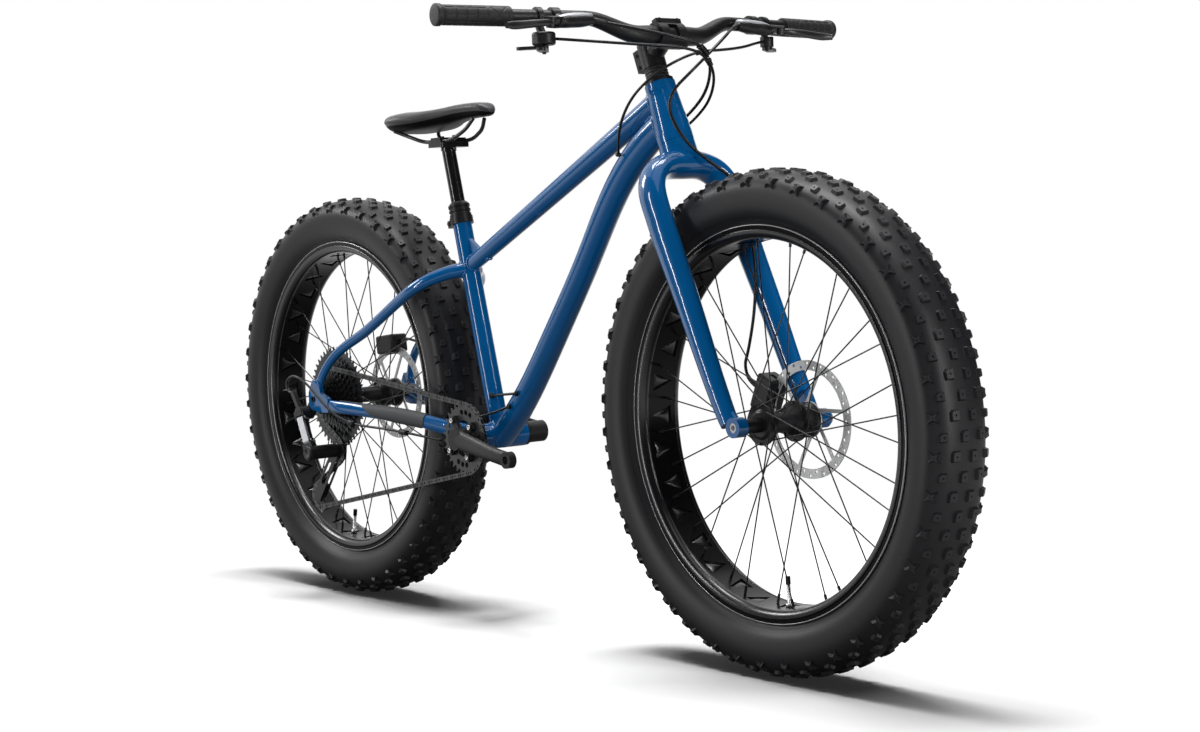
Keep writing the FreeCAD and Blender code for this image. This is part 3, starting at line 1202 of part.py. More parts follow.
HANGER = REAR + V(-size("hanger_back"), 0, -size("hanger_below"))
hanger_in = DROP_IN + 1
hanger_out = DROP_IN + size("dropout_wall") - 1


def slot_plate(first, second, radius, low, high, axis=V(0, 1, 0)):
    """A flat plate with round ends about two points, between two levels along an axis."""
    along = second.sub(first)
    side = axis.cross(along).normalize() * radius
    base = axis * low
    bar = Part.Face(Part.makePolygon([first + side + base, second + side + base, second - side + base,
                                      first - side + base, first + side + base])).extrude(axis * (high - low))
    ends = [Part.makeCylinder(radius, high - low, p + base, axis) for p in (first, second)]
    return bar.fuse(ends)


hanger = slot_plate(V(REAR.x - 4, 0, REAR.z - 8), HANGER, 12, -hanger_out, -hanger_in)
hanger_bolt = size("rear_axle") - 1
hanger = hanger.cut(chainstay).cut(Part.makeCylinder(hanger_bolt + FIT, 60, HANGER - V(0, 140, 0), V(0, 1, 0)))
piece("derailleur_hanger", max(hanger.Solids, key=lambda s: s.Volume))

LINK_Y = -(DROP_IN + size("dropout_wall") + 16)
P_PIVOT = GUIDE + V(-12, LINK_Y, 20)
LINK_ALONG = (P_PIVOT - V(HANGER.x, LINK_Y, HANGER.z)).normalize()
B_PIVOT = P_PIVOT - LINK_ALONG * size("link_length")
slant = math.radians(size("link_slant"))
LINK_AXIS = V(-LINK_ALONG.z, 0, LINK_ALONG.x) * math.cos(slant) + V(0, 1, 0) * math.sin(slant)
LINK_SIDE = LINK_AXIS.cross(LINK_ALONG).normalize()
LINK_ROTATION = FreeCAD.Rotation(LINK_ALONG, LINK_SIDE, LINK_AXIS, "XYZ")
PIN = size("pivot_pin")
APART = size("link_apart") / 2
link_half = 6.0
lug_low = link_half + 0.4
lug_high = lug_low + 3


def at_link(shape, base=None):
    """Sets a shape drawn along the links into the bike's frame."""
    placed = shape.copy()
    place = FreeCAD.Placement(B_PIVOT if base is None else base, LINK_ROTATION)
    placed.Placement = place.multiply(placed.Placement)
    return placed


def link_bar(side, far_hole):
    first = V(0, side, 0)
    second = V(size("link_length"), side, 0)
    bar = slot_plate(first, second, 5, -link_half, link_half, V(0, 0, 1))
    near = Part.makeCylinder(PIN + FIT, 30, first - V(0, 0, 15))
    far = Part.makeCylinder(far_hole, 30, second - V(0, 0, 15))
    return at_link(bar.cut(near).cut(far))


def knuckle_lugs(outward):
    """Two lugs, their pins and the block behind them. outward points away from the links, along X."""
    lugs = [slot_plate(V(0, -APART, 0), V(0, APART, 0), 5.4, low, low + 3, V(0, 0, 1))
            for low in (lug_low, -lug_high)]
    pins = [Part.makeCylinder(PIN, 2 * lug_high, V(0, side, -lug_high)) for side in (-APART, APART)]
    block_start = 6 if outward > 0 else -15
    block = Part.makeBox(9, 2 * APART + 10, 2 * lug_high, V(block_start, -APART - 5, -lug_high))
    joiners = [Part.makeBox(8, 2 * APART + 8, 3, V(0 if outward > 0 else -8, -APART - 4, low))
               for low in (lug_low, -lug_high)]
    return lugs + pins + [block] + joiners


def link_room(way):
    """The space that both links sweep from a knuckle, whose links leave along way times X."""
    room = []
    for side in (-APART, APART):
        for lean in LINK_SWING:
            first = V(0, side, 0)
            reach = V(math.cos(math.radians(lean)), math.sin(math.radians(lean)), 0) * (way * size("link_length"))
            room.append(slot_plate(first, first + reach, 5 + GAP, -lug_low, lug_low, V(0, 0, 1)))
    return room[0].fuse(room[1:])


LINK_SWING = (-32, -24, -16, -8, 0, 8, 10)
b_out = size("rear_hub_half") + size("dropout_wall") + 0.3
b_barrel = Part.makeCylinder(13, 22, V(HANGER.x, -b_out - 22, HANGER.z), V(0, 1, 0))
CABLE_ARM = HANGER + V(-26, 0, 37)
b_bolt = Part.makeCylinder(hanger_bolt, b_out - hanger_in, V(HANGER.x, -b_out, HANGER.z), V(0, 1, 0))
b_parts = [at_link(s) for s in knuckle_lugs(-1)]
cable_arm = slot_plate(HANGER, CABLE_ARM, 5, -b_out - 18, -b_out - 10)
b_knuckle = b_barrel.fuse(cable_arm).cut(at_link(link_room(1))).fuse([b_bolt] + b_parts)
frame_side = Part.makeBox(200, 60, 200, V(HANGER.x - 100, -b_out, HANGER.z - 100))
b_knuckle = b_knuckle.cut(frame_side.cut(b_bolt))
piece("derailleur_b_knuckle", max(b_knuckle.Solids, key=lambda s: s.Volume))
piece("derailleur_outer_link", link_bar(-APART, PIN + FIT))
piece("derailleur_inner_link", link_bar(APART, PIN + 0.8))

cage_half = size("cage_gap") / 2
cage_out = cage_half + size("cage_wall")
p_in = COG_Y - cage_out - GAP
p_out = LINK_Y - 8
pivot_rod = 4.0
p_barrel = Part.makeCylinder(13, p_in - p_out, V(GUIDE.x, p_out, GUIDE.z), V(0, 1, 0))
p_parts = [at_link(s, P_PIVOT) for s in knuckle_lugs(1)]
p_knuckle = p_barrel.cut(at_link(link_room(-1), P_PIVOT)).fuse(p_parts)
p_knuckle = p_knuckle.cut(Part.makeCylinder(pivot_rod + FIT, 26, V(GUIDE.x, p_in - 16, GUIDE.z), V(0, 1, 0)))
cage_room = Part.makeBox(200, 30, 200, V(GUIDE.x - 100, p_in, GUIDE.z - 100))
p_knuckle = p_knuckle.cut(cage_room)
piece("derailleur_p_knuckle", max(p_knuckle.Solids, key=lambda s: s.Volume))

axle_pin = 2.5
outer_plate = slot_plate(GUIDE, TENSION, 12, COG_Y - cage_out, COG_Y - cage_half)
inner_plate = slot_plate(GUIDE, TENSION, 11, COG_Y + cage_half, COG_Y + cage_out)
middle = (GUIDE + TENSION) * 0.5
window = slot_plate(middle + turned(CAGE_ANGLE, -22), middle + turned(CAGE_ANGLE, 22), 6, COG_Y - 20, COG_Y + 20)
pulley_pins = [Part.makeCylinder(axle_pin, 2 * cage_out, V(p.x, COG_Y - cage_out, p.z), V(0, 1, 0))
               for p in (GUIDE, TENSION)]
cage_pivot = Part.makeCylinder(pivot_rod, 15, V(GUIDE.x, COG_Y - cage_out - 14.5, GUIDE.z), V(0, 1, 0))
cage = outer_plate.fuse(inner_plate).cut(window).fuse(pulley_pins + [cage_pivot])
piece("derailleur_cage", cage)
for label, center in (("guide_pulley", GUIDE), ("tension_pulley", TENSION)):
    wheel_disc = sprocket(center, COG_Y, size("pulley_teeth"), axle_pin + FIT, roller_angle(center), 2.0)
    pulley_hub = ring(V(center.x, COG_Y, center.z), V(0, 1, 0), 7, axle_pin + FIT, size("cage_gap") - 2 * GAP)
    holes = [Part.makeCylinder(2.6, 6, V(center.x, COG_Y - 3, center.z) + turned(60 * k, 12), V(0, 1, 0))
             for k in range(6)]
    piece(label, wheel_disc.cut(Part.makeCompound(holes)).fuse(pulley_hub))

# Hand controls, each drawn about the bar and mirrored for the left where there is a pair

LEVER_AT = size("bar_half") - size("lever_at")
BORE = size("bar_radius") + 0.02
LEVER_AXIS = V(0.2, 0, 0.98).normalize()


def on_bar(y, ahead, up):
    return bar_point(y) + V(ahead, 0, up)


def bar_ring(y, length):
    center, out = bar_frame(y)
    return ring(center, out, BORE + size("clamp_wall"), BORE, length)


pivot_right = on_bar(-LEVER_AT - 32, 40, -12)
eye_half = 5.0
cylinder = oval_tube([on_bar(-LEVER_AT + 52, 19, -5), on_bar(-LEVER_AT + 30, 22, -7), on_bar(-LEVER_AT, 27, -9),
                      on_bar(-LEVER_AT - 18, 33, -11)], [(8, 8), (10, 10), (11, 10), (8, 8)], V(1, 0, 0), stations=8)
neck_bar = oval_tube([on_bar(-LEVER_AT, 8, -1), on_bar(-LEVER_AT, 18, -5), on_bar(-LEVER_AT, 26, -8)],
                     [(9, 8), (9, 7), (9, 7)], V(0, 1, 0), stations=4)
cheeks = []
for low in (eye_half + 0.4, -eye_half - 3.4):
    cheeks.append(slot_plate(on_bar(-LEVER_AT - 12, 30, -10), pivot_right, 7, low, low + 3, LEVER_AXIS))
lever_pin = Part.makeCylinder(2.5, 2 * eye_half + 6.8, pivot_right - LEVER_AXIS * (eye_half + 3.4), LEVER_AXIS)
lever_room = Part.makeCylinder(9, 2 * eye_half + 0.8, pivot_right - LEVER_AXIS * (eye_half + 0.4), LEVER_AXIS)
bar_center, bar_out = bar_frame(-LEVER_AT)
bar_space = Part.makeCylinder(BORE, 160, bar_center - bar_out * 80, bar_out)
lever_body = cylinder.fuse([bar_ring(-LEVER_AT, 13), neck_bar] + cheeks)
lever_body = lever_body.cut(bar_space).cut(lever_room.cut(lever_pin)).fuse(lever_pin)
lever_body = max(lever_body.Solids, key=lambda s: s.Volume)
piece("brake_lever_bodies", Part.makeCompound([lever_body, mirrored(lever_body)]))

blade_line = [pivot_right, pivot_right + V(9, -18, -2), pivot_right + V(12, -46, -5), pivot_right + V(14, -76, -8),
              pivot_right + V(20, -96, -9)]
blade = oval_tube(blade_line, [(4.6, 4.6), (4.6, 5.4), (4, 6), (3.6, 6.4), (3.4, 5)], V(1, 0, 0), stations=10)
eye = Part.makeCylinder(6.4, 2 * eye_half, pivot_right - LEVER_AXIS * eye_half, LEVER_AXIS)
blade = blade.cut(rod(pivot_right - LEVER_AXIS * 30, pivot_right - LEVER_AXIS * eye_half, 12))
blade = blade.cut(rod(pivot_right + LEVER_AXIS * eye_half, pivot_right + LEVER_AXIS * 30, 12))
blade = max(blade.Solids, key=lambda s: s.Volume).fuse(eye)
blade = blade.cut(Part.makeCylinder(2.5 + FIT, 40, pivot_right - LEVER_AXIS * 20, LEVER_AXIS))
piece("brake_lever_right", blade)
piece("brake_lever_left", mirrored(blade))

SHIFTER_AT = size("bar_half") - size("shifter_at")
shift_mid = on_bar(-SHIFTER_AT, 14, -34)
shift_box = Part.makeCylinder(18, 20, shift_mid - V(0, 0, 10))
shift_box = shift_box.makeFillet(4, [e for e in shift_box.Edges if e.Curve.TypeId == "Part::GeomCircle"])
shift_neck = oval_tube([on_bar(-SHIFTER_AT, 2, -12), on_bar(-SHIFTER_AT, 8, -22), shift_mid],
                       [(6, 6), (6, 7), (7, 7)], V(0, 1, 0), stations=4)
shift_pin = Part.makeCylinder(3, 14, shift_mid - V(0, 0, 23))
shift_space = Part.makeCylinder(BORE, 80, bar_frame(-SHIFTER_AT)[0] - bar_frame(-SHIFTER_AT)[1] * 40,
                                bar_frame(-SHIFTER_AT)[1])
shifter = bar_ring(-SHIFTER_AT, 8).fuse([shift_neck, shift_box]).cut(shift_space).fuse(shift_pin)
shifter = shifter.cut(lever_body)
piece("shifter_body", max(shifter.Solids, key=lambda s: s.Volume))
pin_hole = Part.makeCylinder(3 + FIT, 40, shift_mid - V(0, 0, 40))
for label, low, reach in (("shift_paddle_main", -15.2, V(-26, -24, 0)),
                          ("shift_paddle_release", -20.4, V(22, -22, 0))):
    paddle = slot_plate(shift_mid, shift_mid + reach, 7, low, low + 4.6, V(0, 0, 1))
    piece(label, paddle.cut(pin_hole))

remote_mid = on_bar(SHIFTER_AT, 10, -27)
remote_box = Part.makeCylinder(11, 16, remote_mid - V(0, 0, 8))
remote_neck = oval_tube([on_bar(SHIFTER_AT, 2, -12), on_bar(SHIFTER_AT, 6, -19), remote_mid],
                        [(5, 5), (5, 6), (6, 6)], V(0, 1, 0), stations=4)
remote_pin = Part.makeCylinder(2.6, 8, remote_mid - V(0, 0, 15))
remote_space = Part.makeCylinder(BORE, 80, bar_frame(SHIFTER_AT)[0] - bar_frame(SHIFTER_AT)[1] * 40,
                                 bar_frame(SHIFTER_AT)[1])
remote = bar_ring(SHIFTER_AT, 8).fuse([remote_neck, remote_box]).cut(remote_space).fuse(remote_pin)
remote = remote.cut(mirrored(lever_body))
piece("dropper_remote_body", max(remote.Solids, key=lambda s: s.Volume))
remote_lever = slot_plate(remote_mid, remote_mid + V(-24, 32, 0), 8, -13.4, -8.5, V(0, 0, 1))
piece("dropper_remote_lever", remote_lever.cut(Part.makeCylinder(2.6 + FIT, 40, remote_mid - V(0, 0, 40))))

# Brake calipers: a block over the rotor's edge with two pads in its slot


def caliper(wheel, off, angle, keep_out):
    mid = size("rotor_radius") + 4
    block = Part.makeBox(58, 38, 36, V(-29, -19, mid - 18))
    block = block.makeFillet(5, block.Edges)
    slot = Part.makeBox(80, 7.2, 40, V(-40, -3.6, mid - 42 + 8))
    pads = []
    for side in (-1, 1):
        low = size("rotor_thick") / 2 + 0.5
        pads.append(Part.makeBox(32, 2.0, 18, V(-16, low if side > 0 else -low - 2.0, mid - 20)))
    solid = block.cut(slot)
    place = FreeCAD.Placement(V(wheel.x, off, wheel.z), FreeCAD.Rotation(V(0, 1, 0), 90 - angle))
    made = []
    for shape in [solid] + pads:
        shape.Placement = place
        made.append(shape)
    made[0] = max(made[0].cut(keep_out).Solids, key=lambda s: s.Volume)
    return Part.makeCompound(made)


fork_solid = next(f for f in SUBPARTS if f.Label == "fork").Shape
rear_stays = mirrored(seatstay).fuse(mirrored(chainstay))
piece("front_brake_caliper", caliper(FRONT, size("front_rotor_off"), 157, fork_solid))
piece("rear_brake_caliper", caliper(REAR, size("rear_rotor_off"), 96, rear_stays))

# Brake hoses and cable housings, each along its own route from the control to its port

HOSE = size("hose_radius")
HOUSING = size("housing_radius")


def route(*points):
    return [V(*p) for p in points]


caliper_back = V(FRONT.x, size("front_rotor_off"), FRONT.z) + turned(157, size("rotor_radius") + 22.3)
front_hose = hose("front_brake_hose", [on_bar(LEVER_AT - 54, 19, -5)] + route(
    (376, 122, 988), (412, 78, 972), (424, 12, 928), (394, -38, 874), (420, -24, 810), (434, 32, 768))
    + [steer(45, 60, 392), steer(42, 64.5, 340), steer(34, 63, 270), steer(8, 60, 200), steer(-34, 60, 142)]
    + [caliper_back + V(-40, 1, 34), caliper_back + V(-26, 0, 8), caliper_back], HOSE)
piece("front_brake_hose", front_hose)

rear_hose = hose("rear_brake_hose", [on_bar(-LEVER_AT + 54, 19, -5)] + route(
    (380, -115, 988), (408, -75, 977), (424, -32, 967), (431, 10, 957), (424, 37, 929), (399, 48, 888),
    (362, 45, 857), (325, 37, 834), (297, 25, 815)), HOSE)
caliper_front = V(REAR.x, size("rear_rotor_off"), REAR.z) + turned(96, size("rotor_radius") + 4) + V(29.2, 0, 3.2)
rear_stub = hose("rear brake hose at the caliper", route((-500, 73.5, 480), (-515, 69, 484), (-534, 70, 486),
                                                         (-553, 76, 481)) + [caliper_front], HOSE)
piece("rear_brake_hose", rear_hose)

shift_start = shift_mid + V(5, 18.2, 0)
shift_front = hose("shift housing at the bar", [shift_start] + route(
    (374, -180, 963), (400, -130, 958), (420, -80, 954), (432, -35, 952), (437, 9, 943), (429, 40, 914),
    (400, 54, 875), (360, 54, 846), (320, 42, 821), (291, 26, 801)), HOUSING)
shift_low = hose("shift housing at the bracket", route((-62, -28.5, 381), (-92, -35, 371), (-128, -37, 363),
                                                       (-160, -43, 356), (-183, -50, 353.6)), HOUSING)
arm_end = CABLE_ARM + V(-5.4, -b_out - 14, 1.4)
shift_loop = hose("shift housing at the derailleur", route(
    (-205, -76, 319), (-250, -84, 324), (-306, -92, 330), (-362, -98, 334), (-414, -103, 336), (-462, -108, 341),
    (-507, -113, 354), (-546, -116, 376), (-580, -118, 401), (-611, -120, 418), (-637, -121.5, 425),
    (-659, -121.8, 419),
    (-667, -121.8, 405), (-661, -121.8, 393.5)) + [arm_end], HOUSING)

remote_start = remote_mid + V(3, -12, 0)
dropper_front = hose("dropper housing at the bar", [remote_start] + route(
    (374, 178, 968), (396, 130, 958), (402, 80, 952), (400, 30, 949), (390, -18, 930), (366, -42, 908),
    (330, -47, 884), (296, -43, 852), (272, -33, 820), (262, -25, 796)), HOUSING)
dropper_low = hose("dropper housing at the seat tube", route((-40, -28, 404), (-66, -33, 402), (-97, -32, 399),
                                                             (-122, -24, 397), (-134, -14, 396)), HOUSING)
# What turns with the bar is one piece, and what the frame holds still is another
piece("bar_cable_housings", Part.makeCompound([shift_front, dropper_front]))
piece("frame_cable_runs", Part.makeCompound([rear_stub, shift_low, shift_loop, dropper_low]))

# Every piece is checked before any file is written

doc.recompute()
for obj in doc.Objects:
    if "Invalid" in obj.State or "Error" in obj.State:
        raise RuntimeError(f"{obj.Label} failed to build")
for part in SUBPARTS:
    if part.Shape.isNull() or not part.Shape.isValid() or not part.Shape.Solids:
        raise RuntimeError(f"{part.Label} has no valid solid")
os.makedirs("parts", exist_ok=True)
for part in SUBPARTS:
    part.Shape.exportStep(f"parts/{part.Label}.step")
print(len(SUBPARTS), "sub-parts")
for name, point in (("steering foot", FOOT), ("steering top", steer(0, 0, 100)), ("guide", GUIDE),
                    ("tension", TENSION), ("link base", B_PIVOT), ("link axis", LINK_AXIS),
                    ("link side", LINK_SIDE), ("link along", LINK_ALONG), ("p pivot", P_PIVOT),
                    ("lever pivot", pivot_right), ("lever axis", LEVER_AXIS), ("shift pivot", shift_mid),
                    ("remote pivot", remote_mid), ("seat up", SEAT_UP), ("seat top", SEAT_TOP)):
    print(f"{name}: {point.x:.4f} {point.y:.4f} {point.z:.4f}")
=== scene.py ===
"""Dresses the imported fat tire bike: its tread, saddle, grips, lines, welds, small hardware and finishes."""
import math

import bmesh
import bpy
import numpy as np
from bpy.props import FloatProperty, FloatVectorProperty, IntProperty, PointerProperty
from mathutils import Matrix, Vector
from mathutils.bvhtree import BVHTree


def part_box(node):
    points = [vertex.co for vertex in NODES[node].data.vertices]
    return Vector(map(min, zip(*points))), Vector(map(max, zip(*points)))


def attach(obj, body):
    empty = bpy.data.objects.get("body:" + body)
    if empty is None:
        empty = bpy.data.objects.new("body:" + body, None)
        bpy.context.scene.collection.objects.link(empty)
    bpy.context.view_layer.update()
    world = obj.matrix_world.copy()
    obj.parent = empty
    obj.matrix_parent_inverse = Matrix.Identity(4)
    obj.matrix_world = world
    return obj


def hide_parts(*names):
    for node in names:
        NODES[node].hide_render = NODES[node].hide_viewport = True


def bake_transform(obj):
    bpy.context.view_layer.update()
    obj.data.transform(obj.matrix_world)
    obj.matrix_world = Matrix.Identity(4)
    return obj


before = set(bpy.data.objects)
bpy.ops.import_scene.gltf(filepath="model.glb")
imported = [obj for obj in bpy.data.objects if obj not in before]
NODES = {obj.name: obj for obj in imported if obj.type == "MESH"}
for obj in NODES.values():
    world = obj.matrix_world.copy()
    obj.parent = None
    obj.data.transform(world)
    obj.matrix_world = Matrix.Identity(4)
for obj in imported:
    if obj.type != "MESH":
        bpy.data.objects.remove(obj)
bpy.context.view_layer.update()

bl_info = {
    "name": "Fat tire bike",
    "version": (1, 0, 0),
    "blender": (4, 5, 0),
    "location": "View3D > Sidebar > Bike",
    "description": "Builds the bike's tread, saddle, grips, lines, welds and finishes on its CAD frame",
    "category": "Object",
}

MM = 0.001
LEFT = np.array((0.0, 1.0, 0.0))
AXLES = {"front": np.array((0.592, 0.0, 0.380)), "rear": np.array((-0.592, 0.0, 0.380))}
# The steering axis: its foot, and its own up and ahead
STEER_FOOT = np.array((0.543293, 0.0, 0.361789))
STEER_UP = np.array((-0.350207, 0.0, 0.936672))
STEER_AHEAD = np.array((0.936672, 0.0, 0.350207))
BRACKET = np.array((-0.138, 0, 0.325))
# The bar: its middle and half length, then where its bends end, how far they go back and up, and the sweep in degrees
BAR_AT = np.array((363.0, 0, 975.5)) * MM
BAR_HALF = 0.4
BEND_END, BEND_BACK, BEND_RISE, SWEEP = 0.055, 0.008, 0.025, 7
# Most of a noise's values lie in this span
NOISE_SPAN = (0.3, 0.7)
# Every finish by a short name, filled by the first operator
FINISH = {}


def linear(code):
    """A hex colour as linear red, green, blue and alpha."""
    parts = np.array([int(code[i:i + 2], 16) / 255 for i in (1, 3, 5)])
    low = parts / 12.92
    high = ((parts + 0.055) / 1.055) ** 2.4
    return tuple(np.where(parts <= 0.04045, low, high)) + (1.0,)


def add(tree, kind, feeds=None, **settings):
    """Adds one node with its settings. Each feed is a plain value for a socket, or the output that drives it."""
    made = tree.nodes.new(kind)
    for key, value in settings.items():
        setattr(made, key, value)
    for key, value in (feeds or {}).items():
        if isinstance(value, bpy.types.NodeSocket):
            tree.links.new(value, made.inputs[key])
        else:
            made.inputs[key].default_value = value
    return made


def maths(tree, operation, *values):
    """The result of one arithmetic node on plain values or outputs."""
    return add(tree, "ShaderNodeMath", dict(enumerate(values)), operation=operation).outputs[0]


def mapped(tree, value, low, high, start=0.0, end=1.0):
    """A value carried from start and end to low and high, and held there beyond them."""
    return add(tree, "ShaderNodeMapRange", {"Value": value, "From Min": start, "From Max": end, "To Min": low,
                                            "To Max": high}).outputs["Result"]


def noise(tree, where, grain, **settings):
    """A noise's value at a place, its features grain millimetres across."""
    return add(tree, "ShaderNodeTexNoise", {"Vector": where, "Scale": 1 / (grain * MM), **settings}).outputs["Fac"]


def relief(tree, height, size):
    """A normal tilted by a height that is size millimetres at most."""
    return add(tree, "ShaderNodeBump", {"Height": height, "Distance": size * MM, "Strength": 1.0}).outputs["Normal"]


def tinted(tree, colour, value):
    """A colour made lighter or darker by a factor."""
    return add(tree, "ShaderNodeHueSaturation", {"Color": colour, "Value": value}).outputs["Color"]


def material(name):
    """An empty node material and its tree."""
    made = bpy.data.materials.new(name)
    made.use_nodes = True
    made.node_tree.nodes.clear()
    return made, made.node_tree


def shaded(tree, kind, feeds):
    """Ends a material's tree in a shader with these feeds."""
    shader = add(tree, kind, feeds)
    add(tree, "ShaderNodeOutputMaterial", {"Surface": shader.outputs[0]})


def speckled(name, dark, light, grain, rough, bump, spread, metallic, specular, **more):
    """A surface whose colour, gloss and relief all follow one fine noise, grain millimetres across.

    The colour runs between dark and light, the roughness by spread round rough, and the relief is bump
    millimetres high. What else the surface has all over, such as sheen, is given by the shader's own sockets.
    """
    made, tree = material(name)
    fine = noise(tree, add(tree, "ShaderNodeTexCoord").outputs["Object"], grain, Detail=3.0, Roughness=0.6)
    ramp = add(tree, "ShaderNodeValToRGB", {"Fac": fine})
    for k, code in enumerate((dark, light)):
        ramp.color_ramp.elements[k].position = NOISE_SPAN[k]
        ramp.color_ramp.elements[k].color = linear(code)
    feeds = {"Base Color": ramp.outputs["Color"], "Metallic": metallic, "Specular IOR Level": specular,
             "Roughness": mapped(tree, fine, rough - spread, rough + spread, *NOISE_SPAN), **more}
    if bump:
        feeds["Normal"] = relief(tree, fine, bump)
    shaded(tree, "ShaderNodeBsdfPrincipled", feeds)
    return made


def shell_faces(rows, cols, closed=False):
    """The quads of a grid of rows by cols points, whose columns close on themselves, as may its rows."""
    r, c = np.meshgrid(np.arange(rows if closed else rows - 1), np.arange(cols), indexing="ij")
    up = (r + 1) % rows
    on = (c + 1) % cols
    return np.stack((r * cols + c, r * cols + on, up * cols + on, up * cols + c), axis=-1).reshape(-1, 4)


def placed(name, data):
    """An object of some data, linked into the scene."""
    made = bpy.data.objects.new(name, data)
    bpy.context.scene.collection.objects.link(made)
    return made


def put(name, shells, body, finish, uv=None, smooth=True, stands_for=()):
    """Makes one piece of shells, each its points in metres and a list of face arrays, and lets it ride on a body."""
    points, faces, start = [], [], 0
    for shell_points, groups in shells:
        shell_points = np.asarray(shell_points, float).reshape(-1, 3)
        points.append(shell_points)
        for group in groups:
            faces += (np.asarray(group) + start).tolist()
        start += len(shell_points)
    mesh = bpy.data.meshes.new(name)
    mesh.from_pydata(np.concatenate(points).tolist(), [], faces)
    mesh.polygons.foreach_set("use_smooth", np.full(len(mesh.polygons), smooth))
    if uv is not None:
        corner = np.empty(len(mesh.loops), np.int32)
        mesh.loops.foreach_get("vertex_index", corner)
        mesh.uv_layers.new(name="UVMap").data.foreach_set("uv", np.asarray(uv, float)[corner].ravel())
    # Points that meet at a pole or a seam become one, which also drops the faces that they leave without area
    joined = bmesh.new()
    joined.from_mesh(mesh)
    bmesh.ops.remove_doubles(joined, verts=joined.verts, dist=1e-7)
    joined.to_mesh(mesh)
    joined.free()
    made = placed(name, mesh)
    mesh.materials.append(FINISH[finish])
    if body:
        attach(made, body)
    if stands_for:
        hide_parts(*stands_for)
    return made


def unit(v):
    """Vectors of length one along the last axis."""
    v = np.asarray(v, float)
    return v / np.linalg.norm(v, axis=-1, keepdims=True)


def circle(count):
    """Angles evenly spaced once round."""
    return np.linspace(0, 2 * np.pi, count, endpoint=False)


def square_to(axis):
    """A direction square to an axis."""
    return unit(np.cross(axis, np.eye(3)[np.argmin(np.abs(axis))]))


def capped(rows, begin, end):
    """A tube of rings, given as rows of points, closed at each end by a fan of triangles round a point."""
    count = rows.shape[1]
    on = np.arange(count)
    to = (on + 1) % count
    last = (len(rows) - 1) * count
    tip = np.full(count, len(rows) * count)
    points = np.concatenate((rows.reshape(-1, 3), (begin, end)))
    return points, [shell_faces(len(rows), count), np.stack((to, on, tip), -1),
                    np.stack((last + on, last + to, tip + 1), -1)]


def sleeve(path, radius, count=12):
    """A round tube: circles of one radius, or of one radius per point, stand square to a path and end in a point."""
    along = unit(np.gradient(path, axis=0))
    # Two axes square to the path, which turn as little as it lets them
    first = np.empty_like(path)
    first[0] = square_to(along[0])
    for i in range(1, len(path)):
        first[i] = unit(first[i - 1] - along[i] * (first[i - 1] @ along[i]))
    second = np.cross(along, first)
    turn = circle(count)
    reach = np.broadcast_to(np.asarray(radius, float), (len(path),))[:, None, None]
    ring = first[:, None] * np.cos(turn)[None, :, None] + second[:, None] * np.sin(turn)[None, :, None]
    return capped(path[:, None] + reach * ring, path[0], path[-1])


def lathe(base, axis, profile, count):
    """A turned shape: (along, radius) pairs in millimetres spun round an axis, the ends on the axis or joined up."""
    profile = np.asarray(profile, float) * MM
    axis = unit(axis)
    first = square_to(axis)
    second = np.cross(axis, first)
    turn = circle(count)
    ring = first * np.cos(turn)[:, None] + second * np.sin(turn)[:, None]
    points = (np.asarray(base, float) + axis * profile[:, :1])[:, None] + profile[:, 1:, None] * ring[None]
    return points.reshape(-1, 3), [shell_faces(len(profile), count)]


def spun(axle, turn, radius, off):
    """A profile of radius and off centre, in millimetres, carried round an axle to each angle of a turn."""
    spin = np.stack((np.cos(turn), np.zeros_like(turn), np.sin(turn)), -1)[:, None]
    return axle + (radius[..., None] * spin + off[..., None] * LEFT) * MM


def spline_points(route, steps=8):
    """Points along a route's NURBS spline of order 3, which starts and ends on the route's first and last points."""
    route = np.array(ROUTES[route]) * MM
    curve = bpy.data.curves.new("route", "CURVE")
    curve.dimensions = "3D"
    curve.resolution_u = steps
    line = curve.splines.new("NURBS")
    line.points.add(len(route) - 1)
    line.points.foreach_set("co", np.column_stack((route, np.ones(len(route)))).ravel())
    line.order_u = 3
    line.use_endpoint_u = True
    holder = placed("route", curve)
    bpy.context.view_layer.update()
    mesh = bpy.data.meshes.new_from_object(holder)
    points = np.empty(len(mesh.vertices) * 3)
    mesh.vertices.foreach_get("co", points)
    bpy.data.objects.remove(holder)
    bpy.data.curves.remove(curve)
    bpy.data.meshes.remove(mesh)
    return points.reshape(-1, 3)


def steer(x, y, z):
    """A point, in millimetres, given on the steering axis' own ahead, left and up."""
    return STEER_FOOT / MM + STEER_AHEAD * x + STEER_UP * z + LEFT * y


def eased(line, rounds=3):
    """Rounds an open line's corners: each round replaces a run by its points at a quarter and three quarters."""
    line = np.asarray(line, float)
    for _ in range(rounds):
        early = line[:-1] * 0.75 + line[1:] * 0.25
        late = line[:-1] * 0.25 + line[1:] * 0.75
        inner = np.stack((early, late), 1).reshape(-1, line.shape[1])
        line = np.concatenate((line[:1], inner[1:-1], line[-1:]))
    return line


# Half the carcass under the knobs, as (radius, off centre) in millimetres, from the bead to the crown
CARCASS = ((290.5, 36.2), (297, 36.6), (300.5, 38.5), (306, 44.5), (317, 51.6), (332, 55.2), (346, 55.6), (356.5, 53),
           (364.6, 46.5), (370.6, 37), (374.2, 24), (375.4, 8), (375.6, 0))
# The carcass' inside, from one bead to the other
INSIDE = ((291, -33), (318, -46), (345, -49), (362, -36), (366, 0), (362, 36), (345, 49), (318, 46), (291, 33))
# Knobs stand on the carcass beyond this radius
KNOBS_FROM = 344
